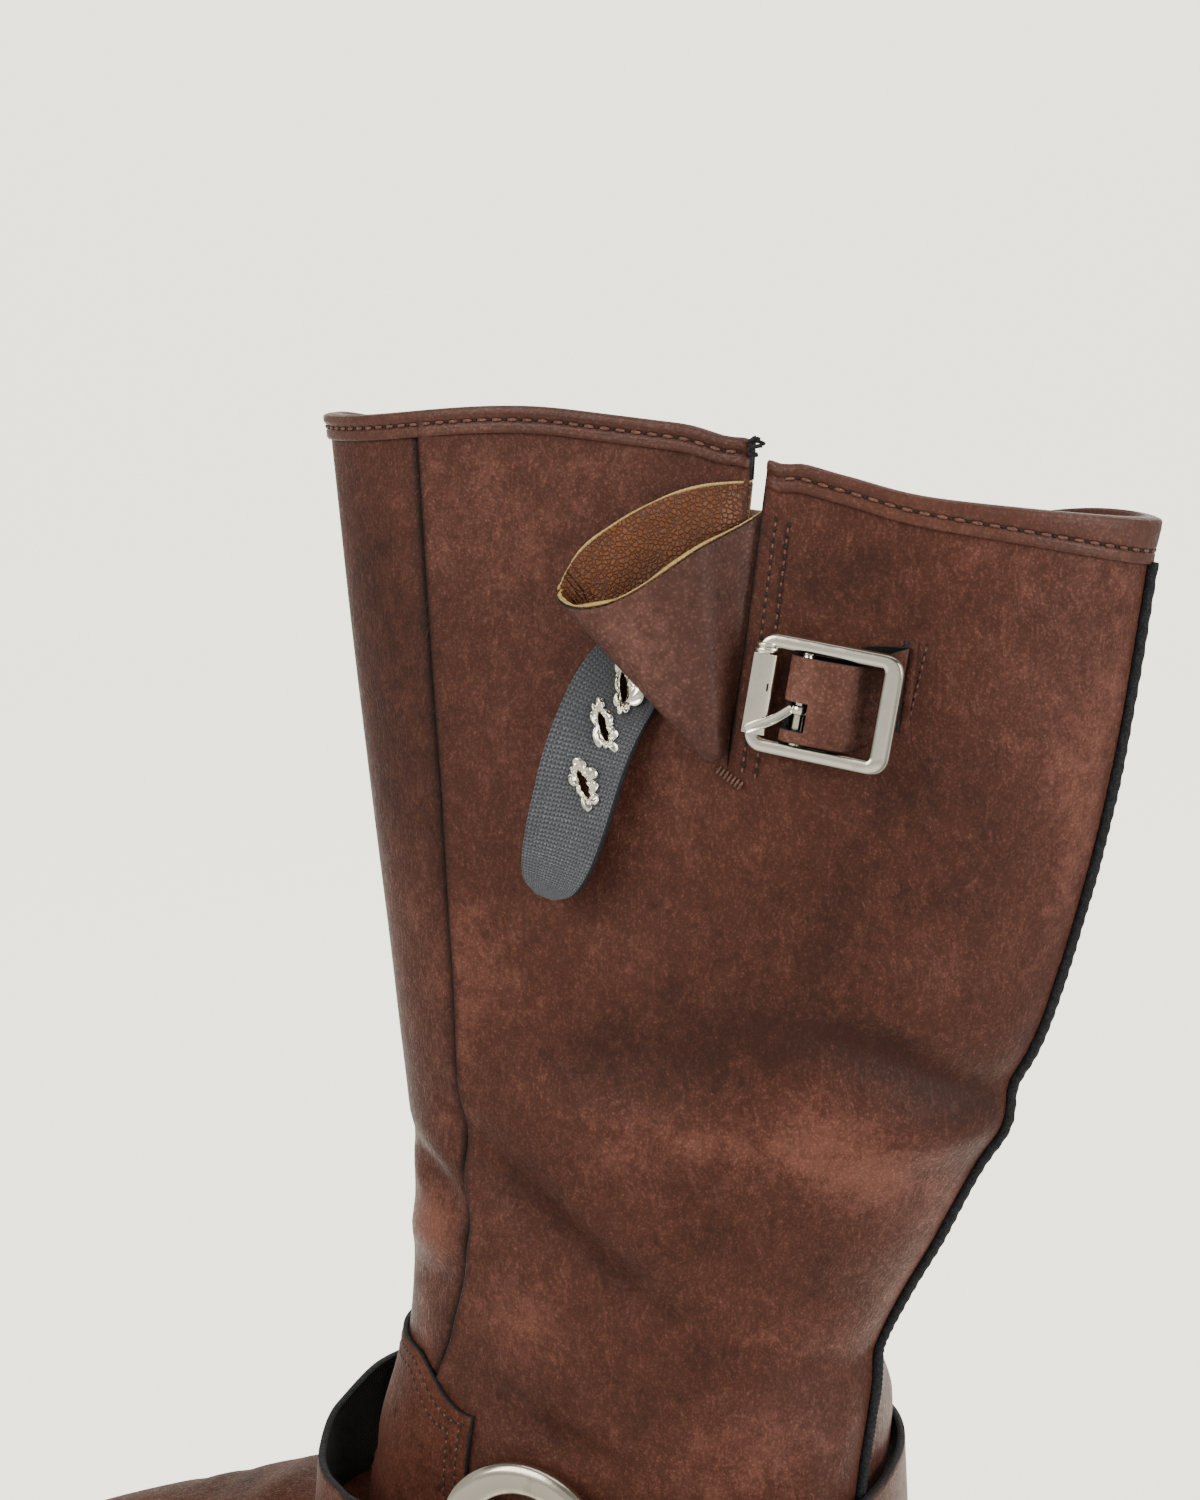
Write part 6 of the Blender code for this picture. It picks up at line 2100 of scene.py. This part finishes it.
@dataclass
class Harness:
    """Two rings, the straps between them and a strap from each ring to the sole."""

    last: Last
    ring_at: Spot = (23.0, 109.0)
    ring_major: float = 17.6
    ring_band: float = 3.7
    ring_half_thick: float = 1.9
    end_width: float = 12.0
    loop_reach: float = 31.0
    tip_clear: float = 2.0
    # Lengths of the straps' ends past the ring: those to the sole and those round the foot
    down_tip: float = 6.0
    side_tip: float = 9.0
    strap_thick: float = 1.8
    gap: float = 0.4
    overlay: float = 1.3
    foot_levels: tuple[float, ...] = (74.0, 62.0, 49.5)
    # Middle of the strip, the way its width runs and its width, a row for each section
    # On the inner side the rows are wider than the strap itself, so that its black inner face also stands in
    # for the shade below it
    front_rows: tuple[tuple[float, ...], ...] = (
        (-18.0, -40.2, 105.0, 0.05, 0.00, 1.00, 17.0),
        (-30.5, -34.2, 103.4, 0.10, 0.10, 0.99, 20.0),
        (-41.0, -18.6, 103.0, 0.06, 0.04, 1.00, 19.5),
        (-46.4, 1.0, 102.4, 0.04, 0.00, 1.00, 25.0),
        (-45.4, 19.5, 103.0, 0.05, -0.03, 1.00, 30.0),
        (-36.0, 35.2, 105.2, 0.04, -0.04, 1.00, 29.0),
        (-18.0, 38.2, 109.2, 0.05, 0.00, 1.00, 19.0),
    )
    back_rows: tuple[tuple[float, ...], ...] = (
        (62.0, -40.2, 112.0, 0.00, 0.00, 1.00, 17.0),
        (82.0, -36.0, 113.0, 0.00, 0.05, 1.00, 20.0),
        (93.6, -22.0, 114.2, -0.05, 0.05, 1.00, 20.0),
        (96.6, 0.0, 114.0, -0.08, 0.00, 1.00, 20.0),
        (93.4, 23.5, 111.6, -0.05, -0.05, 1.00, 20.0),
        (81.0, 42.4, 111.0, 0.00, 0.00, 1.00, 20.0),
        (62.0, 42.6, 112.0, 0.00, 0.00, 1.00, 17.0),
    )

    def ring_frame(self, side: Side) -> tuple[Points, Points, Points, Points]:
        """Centre of a ring, its way out from the boot, forwards and upwards."""
        u, v = self.last.locate(*self.ring_at, side)
        out = self.last.normal(u, v)
        lift = 3 * self.gap + self.overlay + self.strap_thick + self.ring_half_thick
        up = unit(UP - out * out[2])
        forward = unit(np.cross(up, out))
        return self.last.surface(u, v) + out * lift, out, forward * np.sign(-forward[0]), up

    def loop(self, side: Side, way: Spot, tip: float) -> list[tuple[float, ...]]:
        """Rows of a strap's end: under the ring's band, round it and back over itself.

        Args:
            side: Side of the boot.
            way: Way from the ring's middle, forwards and upwards.
            tip: Length of the end past the ring.

        Returns:
            Rows as in the strap tables, from the tip inwards.
        """
        centre, out, forward, up = self.ring_frame(side)
        way = unit(way[0] * forward + way[1] * up)
        across = np.cross(way, out)
        across = across * np.sign(across @ (up if abs(way @ up) < 0.7 else np.array((1.0, 0.0, 0.0))))
        off = self.ring_half_thick + self.gap + self.strap_thick / 2
        hole = self.ring_major - self.ring_band - 1.6
        rim = self.ring_major + self.ring_band
        line = [(rim + tip, -off + self.strap_thick + self.tip_clear), (rim + tip * 0.5, off * 0.5),
                (rim + 0.4, off), (hole, off)]
        line += [(hole - off * math.cos(turn), off * math.sin(turn))
                 for turn in (math.pi / 4, 0.0, -math.pi / 4)]
        line += [(hole, -off), (rim + 2.5, -off)]
        return [(*(centre + way * r + out * lift), *across, self.end_width) for r, lift in line]

    def strip(self, name: str, node: str, rows: list[tuple[float, ...]], finishes: Finishes) -> None:
        """Makes a strap through its rows, leather outside and black inside."""
        table = np.array(rows, float)

        def place(a: Points, b: Points) -> Points:
            """Middle of the strap."""
            row = monotone(table, a * (len(table) - 1))
            return row[:, :3] + unit(row[:, 3:6]) * ((b - 0.5) * row[:, 6])[:, None]

        def marks(a: Points, b: Points) -> dict[str, Points]:
            """Tone of the wax, darker at the edges."""
            return {"tone": 0.04 - 0.16 * np.abs(2 * b - 1) ** 6}

        bm = shaped_grid(12 * len(rows), 14, place, marks)
        middle = len(rows) // 2
        along = table[middle + 1, :3] - table[middle - 1, :3]
        away = table[middle, :3] * (1.0, 1.0, 0.0) - (self.ring_at[0], 0.0, 0.0)
        if np.cross(along, table[middle, 3:6]) @ away < 0:
            bmesh.ops.reverse_faces(bm, faces=bm.faces)
        faced = (finishes.strap, finishes.black_backing, finishes.cut_black)
        turned = (finishes.strap, finishes.strap, finishes.cut_black)
        ends = [self.ring_frame(side)[0] for side in Side]
        for face in bm.faces:
            spot = in_last(face.calc_center_median())
            if min(np.linalg.norm(spot - end) for end in ends) < self.loop_reach:
                face.material_index = len(faced)
        piece = add_piece(name, bm, faced + turned, (node,))
        thicken(piece, self.strap_thick, 0.0)

    def build(self, finishes: Finishes) -> None:
        """Makes the rings and the straps."""
        for side in Side:
            name = side.name.lower()
            centre, _, forward, up = self.ring_frame(side)
            cos, sin = circle(72)
            first = np.outer(cos, forward) + np.outer(sin, up)
            profile = oval(2 * self.ring_band, 2 * self.ring_half_thick, 2.3, 32)
            bm = bar(144, 20, centre + first * self.ring_major, profile, first, closed=True)
            add_piece(f"harness_ring_{name}", bm, (finishes.ring,), (f"ring_{name}",))
            rows = self.loop(side, (0.0, -1.0), self.down_tip)
            foot_x, across = rows[-1][0], rows[-1][3:6]
            lift = self.strap_thick / 2 + 2 * self.gap + self.overlay
            for z in self.foot_levels:
                u, v = self.last.locate(foot_x, z, side)
                spot = self.last.surface(u, v) + self.last.normal(u, v) * lift
                rows.append((*np.ravel(spot), *across, self.end_width + 2))
            self.strip(f"harness_down_{name}", f"down_strap_{name}", rows, finishes)
        straps = (("front", (1.0, -0.10), self.front_rows, (1.0, -0.05)),
                  ("back", (-1.0, 0.08), self.back_rows, (-1.0, 0.08)))
        for name, outer_way, rows, inner_way in straps:
            start = self.loop(Side.OUTER, outer_way, self.side_tip)
            end = self.loop(Side.INNER, inner_way, self.side_tip)[::-1]
            self.strip(f"harness_{name}", f"{name}_strap", start + list(rows) + end, finishes)


@dataclass
class Sole:
    """Outsole, midsole with its welt stitching, stacked heel, top lift and insole."""

    last: Last
    gap: float = 0.4
    top_lift: float = 7.0
    insole: float = 2.5
    wall: float = 2.0
    welt_margin: float = 4.5
    heel_margin: float = 3.0
    breast: float = 31.0
    midsole_in: float = 0.6
    insole_in: float = 1.6
    turn_step: float = 0.003
    # Welt stitches: shares of the length, their number of points, and the place on the welt
    sewn_span: tuple[float, float, int] = (0.42, 1.0, 260)
    sewn_at: float = 0.5
    seam: Seam = Seam(4.0, 0.9, 0.74)

    def outline(self, share: Points, margin: float, side: Side) -> Points:
        """Plan of the sole on one side, a margin outside the upper's lower edge."""
        u = share / 2 if side is Side.OUTER else 1 - share / 2
        zero = np.zeros_like(u)
        edge = self.last.surface(u, zero)
        way = self.last.surface(u + self.turn_step, zero) - self.last.surface(u - self.turn_step, zero)
        return edge[:, :2] - unit(np.stack([way[:, 1], -way[:, 0]], -1)) * margin

    def slab(self, name: str, node: str, margin: float, top: Callable[[Points], Points],
             bottom: Callable[[Points], Points], finish: bpy.types.Material, reach: float = 1.0,
             soft: float = 0.7) -> None:
        """Makes one layer of the sole.

        Args:
            name: Piece's name.
            node: CAD node that it stands for.
            margin: How far it stands out from the upper's lower edge.
            top: Heights of its top by x.
            bottom: Heights of its underside by x.
            finish: Material.
            reach: Part of the length that it covers, from the back.
            soft: Width of its rounded edges.
        """
        def place(a: Points, b: Points) -> Points:
            """Top of the layer."""
            one = self.outline(a * reach, margin, Side.OUTER)
            other = self.outline(a * reach, margin, Side.INNER)
            plan = one + (other - one) * b[:, None]
            return np.column_stack([plan, top(plan[:, 0])])

        bm = shaped_grid(110, 12, place)
        bmesh.ops.remove_doubles(bm, verts=bm.verts, dist=WELD_WIDE)
        made = bmesh.ops.extrude_face_region(bm, geom=bm.faces[:])
        for item in made["geom"]:
            if isinstance(item, bmesh.types.BMVert):
                item.co.z = float(bottom(in_last(item.co)[0])) * MM
        bmesh.ops.recalc_face_normals(bm, faces=bm.faces)
        piece = add_piece(name, bm, (finish,), (node,))
        soften(piece, soft)

    def build(self, finishes: Finishes) -> None:
        """Makes every layer."""
        last = self.last
        share = (SECTIONS[0, 0] - self.breast) / (SECTIONS[0, 0] - SECTIONS[0, 2])
        reach = math.acos(1 - 2 * share) / math.pi

        def over(height: float) -> Callable[[Points], Points]:
            """Heights over the sole's underside."""
            return lambda x: last.under_sole(x) + height

        def level(height: float) -> Callable[[Points], Points]:
            """One height all over."""
            return lambda x: np.full_like(x, height)

        self.slab("outsole_rubber", "outsole", self.welt_margin, over(last.outsole - self.gap),
                  last.under_sole, finishes.rubber)
        self.slab("midsole_welt", "midsole", self.welt_margin - self.midsole_in,
                  over(last.outsole + last.midsole), over(last.outsole), finishes.sole_edge)
        self.slab("insole_lining", "insole", -self.wall - self.insole_in,
                  lambda x: last.feather(x) + self.insole, last.feather, finishes.insole,
                  soft=0.5)
        self.slab("heel_stack", "heel", self.heel_margin, level(last.heel_height - self.gap),
                  level(self.top_lift), finishes.sole_edge, reach)
        self.slab("heel_top_lift", "top_lift", self.heel_margin, level(self.top_lift - self.gap), level(0.0),
                  finishes.rubber, reach)

    def sew(self, stitches: Stitcher) -> None:
        """Sews the welt round the forefoot, from arch to arch."""
        share = np.linspace(*self.sewn_span)
        one = self.outline(share, self.welt_margin * self.sewn_at, Side.OUTER)
        other = self.outline(share[::-1], self.welt_margin * self.sewn_at, Side.INNER)
        plan = np.concatenate([one, other[1:]])
        height = self.last.under_sole(plan[:, 0]) + self.last.outsole + self.last.midsole
        line = np.column_stack([plan, height])
        stitches.sew(line, np.broadcast_to(UP, line.shape), self.seam)


@dataclass
class Studio:
    """Pale sweep all round, soft lamps and the camera at the photograph's angle."""

    radius: float = 6.0
    glow: float = 3.3
    lit_wide: float = 0.33
    lit_tall: float = 0.27
    lit_fade: float = 0.14
    # Distances in metres over which the lit part of the wall starts, and the least one to the camera
    behind_from: Spot = (-0.15, 0.12)
    nearest: float = 0.05
    bend: float = 2.5
    wall: float = 3.5
    azimuth: float = 22.0
    pitch: float = 9.0
    distance: float = 0.50
    look_x: float = 25.0
    camera_height: float = 0.365
    focal_pixels: float = 2222.0
    image_height: float = 1500.0
    sensor: float = 36.0
    clip: Spot = (0.01, 40.0)
    air: float = 0.3
    aim: tuple[float, float, float] = (-0.02, 0.0, 0.22)
    # Lamps: name, place and size in metres, power in watts and tint
    lamps: tuple[tuple, ...] = (
        ("key_lamp", (-0.9, -1.5, 1.2), (1.2, 1.2), 25.0, (1.0, 0.985, 0.96)),
        ("fill_lamp", (1.9, -0.75, 0.8), (1.2, 1.6), 30.0, (0.99, 0.99, 1.0)),
        ("top_lamp", (0.1, 0.2, 2.2), (1.8, 1.8), 15.0, (1.0, 1.0, 1.0)),
        ("rear_lamp", (0.6, 1.7, 1.2), (1.4, 1.4), 5.0, (1.0, 0.99, 0.97)),
    )

    def build_sweep(self) -> None:
        """Makes the floor, rising in a wide curve all round."""
        bm = bmesh.new()
        corner = [(self.radius - self.bend + self.bend * math.sin(t), self.bend - self.bend * math.cos(t))
                  for t in np.linspace(0, math.pi / 2, 16)]
        profile = [(0.0, 0.0), (1.0, 0.0), *corner, (self.radius, self.wall)]
        verts = [bm.verts.new((x, 0.0, z)) for x, z in profile]
        edges = [bm.edges.new(pair) for pair in zip(verts, verts[1:])]
        bmesh.ops.spin(bm, geom=verts + edges, cent=(0, 0, 0), axis=(0, 0, 1), angle=math.tau, steps=96,
                       use_merge=True)
        bmesh.ops.remove_doubles(bm, verts=bm.verts, dist=10 * WELD_WIDE)
        bmesh.ops.recalc_face_normals(bm, faces=bm.faces)
        if min(bm.faces, key=lambda face: face.calc_center_median().length).normal.z < 0:
            bmesh.ops.reverse_faces(bm, faces=bm.faces)
        mesh = bpy.data.meshes.new("studio_sweep")
        bm.to_mesh(mesh)
        bm.free()
        mesh.polygons.foreach_set("use_smooth", np.full(len(mesh.polygons), True))
        made, graph, shader, place = start_material("pale_sweep")
        paper = graph.noise(place, 9.0, 3.0)
        shade = graph.mix(paper, colour(0.395, 0.392, 0.38), colour(0.405, 0.402, 0.39))
        graph.feed(shader.inputs["Base Color"], shade)
        shader.inputs["Roughness"].default_value = 0.95
        shader.inputs["Specular IOR Level"].default_value = 0.1
        turn = math.radians(self.azimuth)
        x, y, z = graph.add("ShaderNodeSeparateXYZ", Vector=place).outputs
        away = graph.weigh((y, math.cos(turn)), (x, -math.sin(turn)))
        aside = graph.math("ABSOLUTE", graph.weigh((x, math.cos(turn)), (y, math.sin(turn))), 0.0)
        far = graph.math("MAXIMUM", graph.math("ADD", away, self.distance), self.nearest)
        wide = graph.step(graph.math("DIVIDE", aside, far), self.lit_wide + self.lit_fade, self.lit_wide)
        tall = graph.step(graph.math("DIVIDE", z, far), self.lit_tall + self.lit_fade, self.lit_tall)
        behind = graph.step(away, *self.behind_from)
        lit = graph.times(graph.times(wide, tall), behind)
        glow = graph.mix(lit, colour(0.10, 0.099, 0.095), colour(0.765, 0.750, 0.640))
        graph.feed(shader.inputs["Emission Color"], glow)
        shader.inputs["Emission Strength"].default_value = self.glow
        mesh.materials.append(made)
        sweep = bpy.data.objects.new("studio_sweep", mesh)
        bpy.context.scene.collection.objects.link(sweep)

    def lamp(self, name: str, at: Sequence[float], size: Spot, power: float, tint: Sequence[float]) -> None:
        """Adds a soft lamp that faces the shaft."""
        data = bpy.data.lights.new(name, "AREA")
        data.shape = "RECTANGLE"
        data.size, data.size_y = size
        data.energy = power
        data.color = tint
        lamp = bpy.data.objects.new(name, data)
        lamp.location = at
        lamp.rotation_euler = (Vector(self.aim) - Vector(at)).to_track_quat("-Z", "Y").to_euler()
        bpy.context.scene.collection.objects.link(lamp)

    def build(self) -> None:
        """Makes the sweep, the lamps, the air's light and the camera."""
        self.build_sweep()
        for lamp in self.lamps:
            self.lamp(*lamp)
        world = bpy.data.worlds.new("studio_air")
        bpy.context.scene.world = world
        world.use_nodes = True
        air = world.node_tree.nodes["Background"]
        air.inputs["Color"].default_value = colour(0.76, 0.753, 0.723)
        air.inputs["Strength"].default_value = self.air
        data = bpy.data.cameras.new("photo_camera")
        data.sensor_width = self.sensor
        data.lens = self.sensor * self.focal_pixels / self.image_height
        data.clip_start, data.clip_end = self.clip
        camera = bpy.data.objects.new("photo_camera", data)
        turn = math.radians(self.azimuth)
        camera.location = ((self.look_x - ORIGIN[0]) * MM + self.distance * math.sin(turn),
                           -self.distance * math.cos(turn), self.camera_height)
        camera.rotation_euler = (math.radians(90.0 - self.pitch), 0.0, turn)
        bpy.context.scene.collection.objects.link(camera)
        bpy.context.scene.camera = camera


def main() -> None:
    """Builds the boot's pieces in order."""
    logging.basicConfig(level=logging.INFO, format="%(name)s %(message)s")
    Studio().build()
    finishes = Finishes()
    last = Last(creases=CREASES, patches=PATCHES)
    stitches = Stitcher()
    upper = Upper(last)
    vamp = Vamp(last)
    binding = Binding(upper)
    buckle = Buckle(last)
    sole = Sole(last)
    assemblies = (upper, vamp, binding, BackSeam(binding), Gusset(last), TopStrap(last), buckle,
                  Harness(last), sole)
    for assembly in assemblies:
        LOG.info("building %s", type(assembly).__name__)
        assembly.build(finishes)
    for sewn in (upper, vamp, binding, buckle, sole):
        sewn.sew(stitches)
    stitches.build(finishes)


if __name__ == "__main__":
    main()
